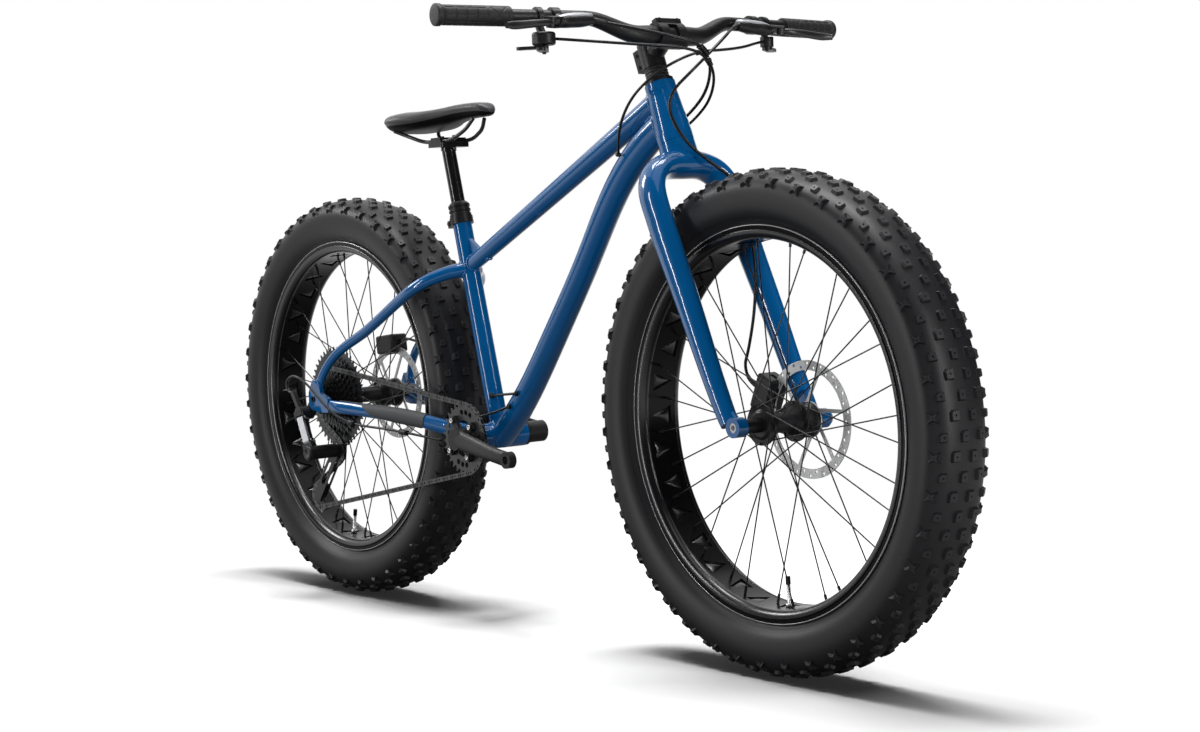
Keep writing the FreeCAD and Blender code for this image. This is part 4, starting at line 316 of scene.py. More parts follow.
# Rows of knobs: off centre, phase along the repeat, along half, across half, height, which template
KNOB_ROWS = ((50.6, 0.0, 8.4, 9.0, 4.4, "star"), (41.2, 0.5, 6.6, 6.2, 4.2, "block"),
             (24.0, 0.02, 8.0, 7.4, 4.4, "block"), (8.6, 0.5, 8.4, 6.8, 4.2, "block"))
# How many points a knob has at its base, its top, its pocket's edge, the edge of the pocket's floor and its middle
KNOB_POINTS = (8, 8, 8, 8, 1)


def knob(shape, along, across, height):
    """A tread knob on (along, across, up) axes: four rings of 8 points and a pocket's floor.

    The base ring is sunk under the carcass and the top ring stands inside it, so the sides slope. A block is a
    rectangle with cut corners, the leading one cut most, and has a round pocket in its top. A star draws its
    sides in between four long corners.
    """
    if shape == "block":
        cut = np.array((0.9, 0.9, 3.6, 0.9))
        sx, sy = np.array((1, -1, -1, 1)), np.array((1, 1, -1, -1))
        corner = np.stack((sx * along, sy * across), -1)
        cut_along, cut_across = np.stack((sx * cut, 0 * cut), -1), np.stack((0 * cut, sy * cut), -1)
        even = (sx * sy > 0)[:, None]
        ring = np.stack((corner - np.where(even, cut_across, cut_along),
                         corner - np.where(even, cut_along, cut_across)), 1).reshape(8, 2)
        slope, pocket, sink = 0.80, 1.7, 1.7
    else:
        turn = np.arange(8) * np.pi / 4 + np.pi / 4
        reach = np.where(np.arange(8) % 2 == 0, 1.36, 0.52)
        ring = np.stack((np.cos(turn) * reach * along, np.sin(turn) * reach * across), -1)
        slope, pocket, sink = 0.66, 1.0, 0.7
    turn = np.arctan2(ring[:, 1], ring[:, 0])
    hole = np.stack((np.cos(turn), np.sin(turn)), -1) * pocket
    foot, under = 1.06, -1.2
    flat = np.concatenate((ring * foot, ring * slope, hole, hole * 0.8, ((0.0, 0.0),)))
    up = np.repeat((under, height, height, height - sink, height - sink), KNOB_POINTS)
    on = np.arange(8)
    base = np.stack((np.zeros(6, int), on[2:], on[1:7]), -1)
    floor = np.stack((24 + on, 24 + (on + 1) % 8, np.full(8, 32)), -1)
    return np.column_stack((flat, up)), shell_faces(4, 8), np.concatenate((base, floor))


def tread(axle, repeats):
    """The carcass and knobs of one tyre round an axle, and each point's marks for the rubber's finish.

    The carcass is a closed profile spun round the axle. A knob's along axis is laid round the tyre as an arc, its
    across axis along the profile and its up axis square to the profile.
    """
    half = eased(CARCASS)
    profile = np.concatenate((half, (half * (1, -1))[-2::-1], INSIDE))
    turn = circle(repeats * 4)
    shells = [(spun(axle, turn, *profile.T), [shell_faces(len(turn), len(profile), True)[:, ::-1]])]
    round_marks = np.repeat(turn, len(profile)) / (2 * np.pi) * repeats
    marks = [np.column_stack((round_marks, np.tile(profile[:, 0], len(turn))))]
    crown = half[half[:, 0] > KNOBS_FROM][::-1]
    # The knobs' tops are marked 1, and there the rubber's finish paints a highlight
    raised = np.repeat((0.0, 1.0, 1.0, 0.0, 0.0), KNOB_POINTS)
    for side in (1, -1):
        for off, phase, along, across, height, shape in KNOB_ROWS:
            before, radius, after = np.interp((off - 0.5, off, off + 0.5), crown[:, 1], crown[:, 0])
            way = unit((before - after, -1.0))
            out = np.array((-way[1], way[0]))
            flat, rings, caps = knob(shape, along, across, height)
            flat = flat * (side, 1, 1)
            lift_r = radius + flat[:, 1] * way[0] + flat[:, 2] * out[0]
            lift_y = (off + flat[:, 1] * way[1] + flat[:, 2] * out[1]) * side
            shift = phase + (0.5 if side < 0 else 0.0)
            centre = (np.arange(repeats) + shift) * 2 * np.pi / repeats
            angle = centre[:, None] + flat[None, :, 0] / radius
            block = np.stack((np.cos(angle) * lift_r, np.broadcast_to(lift_y, angle.shape), np.sin(angle) * lift_r), -1)
            start = np.arange(repeats)[:, None, None] * len(flat)
            shells.append((axle + block.reshape(-1, 3) * MM, [(rings[None] + start).reshape(-1, 4),
                                                              (caps[None] + start).reshape(-1, 3)]))
            marks.append(np.column_stack((np.full(repeats * len(flat), 0.5), np.tile(raised, repeats))))
    return shells, np.concatenate(marks)


# Where the lines run, as the control points of their splines in millimetres
CALIPER_BACK = np.array((488.63, 60, 423.88))
ROUTES = {
    "front_hose": (
        (362.83, 146, 995.5), (376, 122, 988), (412, 78, 972), (424, 12, 928), (394, -38, 874), (420, -24, 810),
        (434, 32, 768),
        steer(45, 60, 392), steer(42, 64.5, 340), steer(34, 63, 270), steer(8, 60, 200), steer(-34, 60, 142),
        CALIPER_BACK + (-40, 1, 34), CALIPER_BACK + (-26, 0, 8), CALIPER_BACK),
    "rear_hose": (
        (362.83, -146, 995.5), (380, -115, 988), (408, -75, 977), (424, -32, 967), (431, 10, 957), (424, 37, 929),
        (399, 48, 888), (362, 45, 857), (325, 37, 834), (297, 25, 815)),
    "rear_stub": (
        (-500, 73.5, 480), (-515, 69, 484), (-534, 70, 486), (-553, 76, 481), (-572.63, 79, 476.69)),
    "shift_front": (
        (352.7, -209.8, 966.5), (374, -180, 963), (400, -130, 958), (420, -80, 954), (432, -35, 952), (437, 9, 943),
        (429, 40, 914), (400, 54, 875), (360, 54, 846), (320, 42, 821), (291, 26, 801)),
    "shift_low": (
        (-62, -28.5, 381), (-92, -35, 371), (-128, -37, 363), (-160, -43, 356), (-183, -50, 353.6)),
    "shift_loop": (
        (-205, -76, 319), (-250, -84, 324), (-306, -92, 330), (-362, -98, 334), (-414, -103, 336), (-462, -108, 341),
        (-507, -113, 354), (-546, -116, 376), (-580, -118, 401), (-611, -120, 418), (-637, -121.5, 425),
        (-659, -121.8, 419), (-667, -121.8, 405), (-661, -121.8, 393.5), (-645.4, -121.8, 391.4)),
    "dropper_front": (
        (346.7, 216, 973.5), (374, 178, 968), (396, 130, 958), (402, 80, 952), (400, 30, 949), (390, -18, 930),
        (366, -42, 908), (330, -47, 884), (296, -43, 852), (272, -33, 820), (262, -25, 796)),
    "dropper_low": (
        (-40, -28, 404), (-66, -33, 402), (-97, -32, 399), (-122, -24, 397), (-134, -14, 396)),
}
# The routes of brake hose. The others are cable housing
HOSES = ("front_hose", "rear_hose", "rear_stub")
# Pieces of line: name, the node each stands for, its routes, and the body it rides on, or None where it runs between
# two bodies and rides on none
LINES = (("front_hose", "front_brake_hose", ("front_hose",), "steering"),
         ("rear_hose", "rear_brake_hose", ("rear_hose",), None),
         ("bar_housings", "bar_cable_housings", ("shift_front", "dropper_front"), None),
         ("frame_runs", "frame_cable_runs", ("rear_stub", "shift_low", "shift_loop", "dropper_low"), "frame"))
# Rubber clips on the lines: the route, the shares of it where a clip starts and ends, and the clip's radius
CLIPS = (("rear_hose", 0.44, 0.52, 5.2), ("rear_hose", 0.54, 0.57, 4.4), ("shift_front", 0.54, 0.575, 4.4),
         ("dropper_front", 0.375, 0.405, 4.4), ("shift_loop", 0.1, 0.13, 5.0), ("shift_loop", 0.33, 0.36, 5.0))
# Rubber boots where the hoses end: the route, the shares of it, and the radius at the boot's start and end
BOOTS = (("front_hose", 0.93, 0.995, 3.0, 4.6), ("front_hose", 0.0, 0.035, 4.6, 3.0),
         ("rear_hose", 0.0, 0.05, 4.6, 3.0))
# Where the lines leave the frame: a point, and the way out of it
PORTS = (((297, 25, 815), (28, 12, 19)), ((291, 26, 801), (29, 16, 20)), ((262, -25, 796), (10, -8, 24)),
         ((-62, -28.5, 381), (-30, -6.5, -10)), ((-40, -28, 404), (-26, -5, -2)), ((-134, -14, 396), (12, -10, 1)),
         ((-500, 73.5, 480), (-15, -4.5, 4)))


# Saddle sections from tail to nose: share of length, half width, top below the peak, drop of the edge, depth
SADDLE_FORM = ((0.0, 53, 12, 13, 31), (0.06, 66, 8.5, 16, 37), (0.2, 71, 6, 19, 38), (0.36, 61, 7.6, 17, 35),
               (0.52, 38, 5.6, 13, 31), (0.7, 25, 1.2, 11, 28), (0.9, 20.5, 1.6, 11, 26), (1.0, 17, 6, 10, 22))


def saddle_shell(low, high, length_steps=72, round_steps=64):
    """The saddle's cover: rounded sections carried from the tail to the nose.

    Along the saddle the half width, top, edge drop and depth follow eased lines. Round a section the width goes as
    a power of the cosine and the height as a power of the sine, so the top is crowned, the edge is full and the
    underside draws in. Both ends close on a quarter ellipse. Each point is marked with its share of the length and
    the sine of its turn.
    """
    share = (1 - np.cos(np.linspace(0, np.pi, length_steps))) / 2
    form = eased(SADDLE_FORM)
    half, below, drop, deep = (np.interp(share, form[:, 0], form[:, k])[:, None] for k in (1, 2, 3, 4))
    tail, nose = 0.075, 0.085
    close = np.sqrt(np.clip(1 - np.clip(1 - share / tail, 0, 1) ** 2, 0, 1))
    close *= np.sqrt(np.clip(1 - np.clip(1 - (1 - share) / nose, 0, 1) ** 2, 0, 1))
    close = close[:, None]
    turn = circle(round_steps)
    c, s = np.cos(turn), np.sin(turn)
    # Powers under 1 fill a section out towards its edges
    wide = np.sign(c) * np.abs(c) ** 0.62
    draw = np.where(s < 0, 1 - 0.2 * np.abs(s) ** 0.6, 1.0)
    y = half * (0.25 + 0.75 * close) * close ** 0.35 * (wide * draw)
    middle = drop + 0.25 * deep
    z = -drop + np.where(s >= 0, drop * np.abs(s) ** 0.85, (drop - deep) * np.abs(s) ** 0.6)
    z = -middle + (z + middle) * close
    x = np.broadcast_to((low[0] + (high[0] - low[0]) * share)[:, None], y.shape)
    points = np.stack((x, y * MM, high[2] + (z - below) * MM), -1)
    marks = np.column_stack((np.repeat(share, round_steps), np.tile(s, length_steps)))
    return (points, [shell_faces(length_steps, round_steps)]), marks


def bar_line(off):
    """The bar's centre at a distance off the middle, outside its bends, where it is swept back and risen."""
    off = np.asarray(off, float)
    back = (np.abs(off) - BEND_END) * math.tan(math.radians(SWEEP)) + BEND_BACK
    return BAR_AT + np.stack((-back, off, np.full_like(off, BEND_RISE)), -1)


def off_grid(value, step):
    """How far a value lies from the nearest multiple of a step."""
    return np.abs(value / step - np.round(value / step)) * step


def fade(distance, start, width):
    """A share that is 1 up to a start and falls to 0 over a width."""
    return np.clip(1 - (distance - start) / width, 0, 1)


def grip_shell(sign, length_steps=190, round_steps=120):
    """One grip's sleeve: a round bar whose radius carries its pattern.

    Outboard, the radius drops in grooves on a grid of square pads. Inboard, it drops along two sets of lines that
    cross as an X. Two thin rings part them off. The end is a rounded cap, wider than the sleeve.
    """
    length, base = 0.1225, 15.6
    pads_start, pads_end, pad_length, pads_round = 42, 113, 17.5, 8
    cross_start, cross_middle, cross_end, crosses_round = 9, 23, 38, 4
    cap_start, cap_height, mouth_radius = 114, 1.9, 11.0
    girth = 2 * np.pi * base
    at = np.linspace(0, 1, length_steps)
    u = at[:, None] * length / MM
    v = circle(round_steps)[None]
    around = v * base
    groove = fade(np.minimum(off_grid(u - pads_start, pad_length), off_grid(around, girth / pads_round)), 0.55, 0.5)
    first, second = (off_grid(around + way * (u - cross_middle), girth / crosses_round) for way in (1, -1))
    cross = fade(np.minimum(first, second), 0.5, 0.5)
    radius = base - 0.25 - 1.15 * groove * (u > pads_start) * (u < pads_end)
    radius = radius - 0.7 * cross * (u > cross_start) * (u < cross_end)
    radius = radius - 0.6 * fade(np.abs(u - 40), 0, 1.2) - 0.6 * fade(np.abs(u - 7.5), 0, 1.0)
    swell = np.clip((u - cap_start) / 3, 0, 1)
    radius = radius + 1.5 * swell * swell * (3 - 2 * swell)
    radius = np.where(u < 1.2, radius - 0.9 * (1.2 - u) ** 2 / 1.44, radius)
    inner = bar_line(sign * (BAR_HALF - 0.001 - length))
    way = unit(bar_line(sign * (BAR_HALF + 0.0002)) - inner)
    first_axis = unit(np.cross(way, (0, 0, 1)))
    second_axis = np.cross(way, first_axis)
    middle = inner + way * (at * length)[:, None]
    ring = first_axis * np.cos(v.T) + second_axis * np.sin(v.T)
    points = middle[:, None] + radius[..., None] * MM * ring[None]
    # The cap's rounded face closes on the middle, and the inner end closes on the bar
    lift = np.array((0.55, 0.95, 1.2, 1.3)) * cap_height * MM
    shrink = np.array((0.985, 0.93, 0.80, 0.45)) * radius[-1].mean() * MM
    cap = (middle[-1] + way * lift[:, None])[:, None] + shrink[:, None, None] * ring[None]
    tip = middle[-1] + way * 1.35 * cap_height * MM
    return capped(np.concatenate((middle[0] + mouth_radius * MM * ring[None], points, cap)), middle[0], tip)


def rim_strip(axle, count=32):
    """The strip inside a rim: a band round the bed that swells through the triangular windows.

    On the unrolled bed a window narrows from its base at one side to its point at the other, and every second one
    is turned round. The swell's share is a power of 27 times the product of a point's three shares of the triangle's
    corners, which is 1 in the middle and 0 along the sides.
    """
    window_half, window_deep, bed, swell = 15, 38, 277, 3.0
    front, back, edge = 279.6, 280.6, 26
    turn = circle(count * 26)
    across = np.linspace(-edge, edge, 27)
    step = 2 * np.pi / count
    near = np.round(turn / step)
    along = ((turn - near * step) * bed)[:, None]
    y = across[None] * np.where(near % 2 == 0, 1.0, -1.0)[:, None]
    low = (y + window_deep / 2) / window_deep
    half = window_half * (1 - low)
    corners = np.clip(((half - along) / (2 * window_half), (half + along) / (2 * window_half), low + 0 * along), 0, 1)
    share = (27 * corners.prod(axis=0)) ** 0.6
    radius = np.column_stack((front - swell * share, np.full((len(turn), 2), back)))
    rows = spun(axle, turn, radius, np.concatenate((-across, (-edge, edge))))
    return rows, [shell_faces(len(turn), rows.shape[1], True)]


def rim_lip(axle, side, round_steps=144):
    """The rounded edge of a rim's flange: a small ellipse carried round the axle at the flange's tip."""
    tip_radius, tip_off, high, wide = 296.0, 38.8, 1.1, 1.5
    small = circle(10)
    points = spun(axle, circle(round_steps), tip_radius + high * np.cos(small), side * tip_off + wide * np.sin(small))
    return points, [shell_faces(round_steps, len(small), True)]


def rim_shoulder(axle, side, round_steps=144):
    """The shoulder between a rim's flange and bed: a quarter circle carried round the axle and closed behind."""
    middle_radius, middle_off, bend = 288, 28.6, 12.4
    small = np.radians(np.linspace(-8, 98, 12))
    radius = np.concatenate((middle_radius - bend * np.sin(small), (282.0, 286.0)))
    off = side * np.concatenate((middle_off + bend * np.cos(small), (30.0, 36.0)))
    points = spun(axle, circle(round_steps), radius, off)
    return points, [shell_faces(round_steps, len(off), True)[:, ::-1 if side < 0 else 1]]


# Pairs of tubes with a weld where the first one's cut end meets the second
WELDS = (("top_tube", "head_tube"), ("down_tube", "head_tube"), ("down_tube", "top_tube"), ("top_tube", "seat_tube"),
         ("seatstays", "seat_tube"), ("seatstays", "top_tube"), ("seat_tube", "bottom_bracket_shell"),
         ("down_tube", "bottom_bracket_shell"), ("chainstays", "bottom_bracket_shell"), ("seatstays", "chainstays"))


def solid_mesh(name):
    """A copy of a node's mesh with its split corners joined again."""
    made = bmesh.new()
    made.from_mesh(NODES[name].data)
    made.transform(NODES[name].matrix_world)
    bmesh.ops.remove_doubles(made, verts=made.verts, dist=1e-5)
    return made


def seams(name, other, sharp=0.45, gap=1.0 * MM, shortest=30 * MM):
    """The lines of edges, sharp in radians, along which a node's cut end comes within a gap of another node."""
    cut, met = solid_mesh(name), solid_mesh(other)
    tree = BVHTree.FromBMesh(met)
    links = {}
    for edge in cut.edges:
        if len(edge.link_faces) == 2 and edge.calc_face_angle() > sharp:
            a, b = edge.verts
            if tree.find_nearest((a.co + b.co) / 2)[3] < gap:
                links.setdefault(a, []).append(b)
                links.setdefault(b, []).append(a)
    lines = []
    while links:
        at = next(iter(links))
        line = [tuple(at.co)]
        while links.get(at):
            to = links[at].pop()
            links[to].remove(at)
            line.append(tuple(to.co))
            links = {vert: ends for vert, ends in links.items() if ends}
            at = to
        links.pop(at, None)
        lines.append(np.array(line))
    cut.free()
    met.free()
    return [line for line in lines if np.linalg.norm(np.diff(line, axis=0), axis=1).sum() > shortest]


def bead(line, radius=2.3 * MM, step=0.9 * MM, ripple=4.2 * MM):
    """A weld bead: a tube on an evenly stepped line, whose radius swells once for each drop of the weld."""
    run = np.concatenate(((0,), np.cumsum(np.linalg.norm(np.diff(line, axis=0), axis=1))))
    along = np.linspace(0, run[-1], max(12, int(run[-1] / step)))
    path = np.stack([np.interp(along, run, line[:, k]) for k in range(3)], -1)
    for _ in range(4):
        path[1:-1] = (path[:-2] + 2 * path[1:-1] + path[2:]) / 4
    swell = radius * (1 + 0.13 * np.abs(np.sin(np.pi * along / ripple)))
    return sleeve(path, swell, 8)


# Turned details as (along, radius) in millimetres
GROMMET_FORM = ((-1, 0), (-1, 5.0), (1.6, 5.0), (2.6, 4.2), (2.6, 2.2), (-1, 2.2), (-1, 0))
RIB_FORM = ((-1.5, 16), (-1.5, 18), (-0.6, 18.6), (0.6, 18.6), (1.5, 18), (1.5, 16), (-1.5, 16))
SPINDLE_FORM = ((-0.5, 9.2), (-0.5, 14.6), (2.0, 14.6), (2.8, 13.9), (2.8, 12.2), (1.6, 11.6), (1.6, 10.2), (0.2, 9.2),
                (-0.5, 9.2))
HOLE_FORM = ((-0.5, 0), (-0.5, 9.4), (0.3, 9.4), (0.3, 0))
VALVE_FORM = ((242.3, 0), (242.3, 3.2), (271.4, 3.2), (271.4, 5.6), (275.4, 5.6), (275.4, 0))
CAP_FORM = ((-3, 0), (-3, 13.4), (-1.5, 14.2), (1.5, 14.2), (4.0, 12.0), (4.0, 6.2), (2.8, 5.6), (2.8, 0))
# Levels of the spacers' ribs up the steering axis
RIB_LEVELS = (581, 586, 591, 596, 601)
# How far the chainring's face and the spindle's end lie out from the bracket's middle
RING_FACE, SPINDLE_END = 0.0849, 0.092
# Where the valves stand round their wheels, in degrees
VALVE_TURNS = {"front": -88.275, "rear": -100.8}
# The cage's pivot on the lower knuckle
KNUCKLE_AT = np.array((-578, -131.5, 280)) * MM
# The chainring's bolts: their circle's radius, and the first one's turn in degrees
BOLT_CIRCLE, BOLT_TURN = 0.038, 35
# The derailleur's link pins in millimetres, two in the upper knuckle and two in the lower, their axis and half length
LINK_PINS = {"upper": ((-605.579, -128.825, 343.442), (-612.372, -118.175, 340.366)),
             "lower": ((-586.604, -128.825, 301.538), (-593.397, -118.175, 298.462))}
LINK_AXIS = np.array((0.7461971, 0.5735978, 0.3378987))
LINK_HALF = 0.0094
# The cap on a lever's cylinder: off the bar's middle, then ahead of and above the bar's centre, and its radius
LEVER_CAP = np.array(((148, 19, -0.5, 5.6), (170, 22, -1.5, 7.4), (200, 27, -4.5, 7.8), (214, 31, -7.5, 5.4))) * MM


def cuff(route, start, end, thick, thin):
    """A rubber boot or clip on a line: a tube that narrows along a share of the line's own points."""
    path = spline_points(route)
    path = path[int(start * (len(path) - 1)):int(end * (len(path) - 1)) + 1]
    return sleeve(path, np.linspace(thick, thin, len(path)) * MM, 16)


def bolt_head(at, axis, r, h):
    """A bolt's head: a low turned cap of a radius and height, with a rounded edge and a round socket in its top."""
    return lathe(at, axis, ((0, 0), (0, r), (h * 0.7, r), (h, r * 0.86), (h, r * 0.45), (h * 0.2, r * 0.405),
                            (h * 0.2, 0)), 20)


def lever_cap(side):
    """The bright cap along one lever's cylinder: a tube whose radius swells between its rounded ends."""
    off, ahead, above, radius = LEVER_CAP.T
    line = bar_line(side * off) + np.stack((ahead, 0 * ahead, above), -1)
    return sleeve(eased(line), eased(radius[:, None])[:, 0], 24)


class BikeColours(bpy.types.PropertyGroup):
    """The finishes that a user would change first."""
    paint: FloatVectorProperty(name="Frame paint", description="Gloss paint of the frame and fork", subtype="COLOR",
                               size=4, min=0, max=1, default=linear("#004b80"))
    rubber: FloatVectorProperty(name="Tyre rubber", description="Tread and sidewalls", subtype="COLOR", size=4, min=0,
                                max=1, default=linear("#18181a"))


class BikeSizes(bpy.types.PropertyGroup):
    """The sizes of what is added to the CAD frame."""
    tread_repeats: IntProperty(name="Tread repeats", description="Knob rows round a tyre", default=42, min=20, max=80)
    hose: FloatProperty(name="Brake hose", description="Brake hose radius", default=0.0025, unit="LENGTH", precision=4)
    housing: FloatProperty(name="Cable housing", description="Cable housing radius", default=0.0023, unit="LENGTH",
                           precision=4)


class BIKE_OT_finishes(bpy.types.Operator):
    """Makes the finishes and gives each CAD node its own"""
    bl_idname = "bike.finishes"
    bl_label = "Finishes"

    def execute(self, context):
        make_finishes(context.scene.bike_colours)
        for finish, names in NODE_FINISH.items():
            for name in names:
                NODES[name].data.materials.clear()
                NODES[name].data.materials.append(FINISH[finish])
        return {"FINISHED"}


class BIKE_OT_tyres(bpy.types.Operator):
    """Builds both treads, and the strips, shoulders and lips of their rims"""
    bl_idname = "bike.tyres"
    bl_label = "Tyres"

    def execute(self, context):
        for end, axle in AXLES.items():
            wheel = end + "_wheel"
            shells, marks = tread(axle, context.scene.bike_sizes.tread_repeats)
            made = put(end + "_tread", shells, wheel, "tyre", uv=marks, smooth=False,
                       stands_for=(end + "_tyre",))
            # The carcass is smooth, and the knobs keep their edges
            rounded = np.arange(len(made.data.polygons)) < len(shells[0][1][0])
            made.data.polygons.foreach_set("use_smooth", rounded)
            put(end + "_rim_strip", [rim_strip(axle)], wheel, "strip")
            put(end + "_rim_shoulders", [rim_shoulder(axle, side) for side in (-1, 1)], wheel, "gloss")
            # The lips carry a painted highlight: the black flange's edge is given a light grey colour
            put(end + "_rim_lips", [rim_lip(axle, side) for side in (-1, 1)], wheel, "lip")
        return {"FINISHED"}


class BIKE_OT_lines(bpy.types.Operator):
    """Builds the brake hoses and cable housings on their routes, with their clips"""
    bl_idname = "bike.lines"
    bl_label = "Hoses and housings"

    def execute(self, context):
        sizes = context.scene.bike_sizes
        for name, node, routes, body in LINES:
            shells = [sleeve(spline_points(route), sizes.hose if route in HOSES else sizes.housing) for route in routes]
            shells += [cuff(route, start, end, thick, thick) for route, start, end, thick in CLIPS if route in routes]
            made = put(name, shells, body, "hose", stands_for=(node,))
            if not body:
                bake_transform(made)
        return {"FINISHED"}


class BIKE_OT_saddle(bpy.types.Operator):
    """Builds the saddle's padded cover"""
    bl_idname = "bike.saddle"
    bl_label = "Saddle"

    def execute(self, context):
        low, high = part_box("saddle")
        shell, marks = saddle_shell(low, high)
        made = put("saddle_cover", [shell], "seat", "saddle", uv=marks, stands_for=("saddle",))
        return {"FINISHED"}


class BIKE_OT_grips(bpy.types.Operator):
    """Builds the patterned grip sleeves"""
    bl_idname = "bike.grips"
    bl_label = "Grips"

    def execute(self, context):
        put("grip_sleeves", [grip_shell(-1), grip_shell(1)], "steering", "grip", stands_for=("grips",))
        return {"FINISHED"}


class BIKE_OT_welds(bpy.types.Operator):
    """Lays a rippled weld bead along each joint between the frame's tubes"""
    bl_idname = "bike.welds"
    bl_label = "Welds"

    def execute(self, context):
        beads = [bead(line) for pair in WELDS for line in seams(*pair)]
        if not beads:
            raise RuntimeError("no tube joints were found")
        put("weld_beads", beads, "frame", "paint")
        return {"FINISHED"}


class BIKE_OT_fittings(bpy.types.Operator):
    """Adds grommets, boots, spacer ribs, bolt and pivot heads, valve stems, the spindle's end and the caps"""
    bl_idname = "bike.fittings"
    bl_label = "Fittings"

    def execute(self, context):
        grommets = [lathe(np.array(at) * MM, way, GROMMET_FORM, 20) for at, way in PORTS]
        put("cable_grommets", grommets, "frame", "grip")
        boots = [cuff(*boot) for boot in BOOTS]
        ribs = [lathe(STEER_FOOT + STEER_UP * up * MM, STEER_UP, RIB_FORM, 48) for up in RIB_LEVELS]
        put("boots_and_ribs", boots + ribs, "steering", "grip")
        turn = np.radians(BOLT_TURN + 90 * np.arange(4))
        spots = BRACKET - RING_FACE * LEFT + BOLT_CIRCLE * np.stack((np.cos(turn), 0 * turn, np.sin(turn)), -1)
        put("chainring_bolt_heads", [bolt_head(spot, -LEFT, 4.6, 1.1) for spot in spots], "crankset", "bolt")
        spindle = BRACKET - SPINDLE_END * LEFT
        put("spindle_end", [lathe(spindle, -LEFT, SPINDLE_FORM, 40)], "crankset", "crank")
        put("spindle_hole", [lathe(spindle, -LEFT, HOLE_FORM, 40)], "crankset", "gloss")
        for end, turn in VALVE_TURNS.items():
            way = (math.cos(math.radians(turn)), 0, math.sin(math.radians(turn)))
            put(end + "_valve_stem", [lathe(AXLES[end], way, VALVE_FORM, 20)], end + "_wheel", "bolt")
        for end, body in (("upper", "frame"), ("lower", "p_knuckle")):
            heads = [bolt_head(np.array(pin) * MM + LINK_HALF * LINK_AXIS, LINK_AXIS, 3.6, 1.2)
                     for pin in LINK_PINS[end]]
            put(end + "_pivot_heads", heads, body, "bolt")
        put("knuckle_cap", [lathe(KNUCKLE_AT, -LEFT, CAP_FORM, 40)], "p_knuckle", "plastic")
        put("lever_caps", [lever_cap(side) for side in (-1, 1)], "steering", "silver")
        return {"FINISHED"}


class BIKE_OT_stage(bpy.types.Operator):
    """Sets the floor, the light and the camera"""
    bl_idname = "bike.stage"
    bl_label = "Stage"

    def execute(self, context):
        stage(context.scene)
        return {"FINISHED"}


class BIKE_PT_parts(bpy.types.Panel):
    """Lists the sizes, the colours and the pieces"""
    bl_idname = "BIKE_PT_parts"
    bl_label = "Fat tire bike"
    bl_space_type = "VIEW_3D"
    bl_region_type = "UI"
    bl_category = "Bike"

    def draw(self, context):
        for group in (context.scene.bike_sizes, context.scene.bike_colours):
            for key in group.__annotations__:
                self.layout.prop(group, key)
        for operator in OPERATORS:
            self.layout.operator(operator.bl_idname)


NODE_FINISH = {
    "paint": ("head_tube", "top_tube", "down_tube", "seat_tube", "bottom_bracket_shell", "chainstays", "seatstays",
              "fork"),
    "anodised": ("stem", "stem_faceplate", "handlebar", "headset_spacers", "seat_clamp", "dropper_post_body",
                 "bottom_bracket_cups", "front_hub", "rear_hub", "derailleur_hanger", "derailleur_inner_link",
                 "front_brake_caliper", "rear_brake_caliper", "brake_lever_bodies", "rear_thru_axle"),
    "rim": ("front_rim", "rear_rim"),
    "crank": ("crank_arm_right", "crank_arm_left"),
    "shaft": ("dropper_shaft",),
    "silver": ("front_thru_axle", "derailleur_outer_link"),
    "lever": ("brake_lever_right", "brake_lever_left"),
    "rotor": ("front_rotor", "rear_rotor"),
    "chain": ("chain",),
    "cog": ("cassette",),
    "chainring": ("chainring",),
    "bearing": ("headset_bearings", "saddle_rails"),
    "spoke": ("front_spokes", "rear_spokes"),
    "guard": ("chainstay_guard",),
    "plastic": ("shifter_body", "shift_paddle_main", "shift_paddle_release", "dropper_remote_body",
                "dropper_remote_lever", "guide_pulley", "tension_pulley", "derailleur_b_knuckle",
                "derailleur_p_knuckle", "derailleur_cage"),
    "tyre": ("front_tyre", "rear_tyre"),
    "grip": ("grips",),
    "saddle": ("saddle",),
    "hose": ("front_brake_hose", "rear_brake_hose", "bar_cable_housings", "frame_cable_runs"),
}


def paint_finish(colours):
    """Gloss paint over aluminium: a deep even blue under a clear coat whose faint orange peel bends reflections."""
    made, tree = material("gloss_blue_enamel")
    where = add(tree, "ShaderNodeTexCoord").outputs["Object"]
    broad = noise(tree, where, 60, Detail=2.0)
    peel = noise(tree, where, 2.4, Detail=1.0)
    shaded(tree, "ShaderNodeBsdfPrincipled", {
        "Base Color": tinted(tree, tuple(colours.paint), mapped(tree, broad, 0.94, 1.06)), "Roughness": 0.34,
        "Coat Weight": 1.0, "Coat Roughness": 0.03, "Coat Normal": relief(tree, peel, 0.0006),
        "Specular IOR Level": 0.1})
    return made


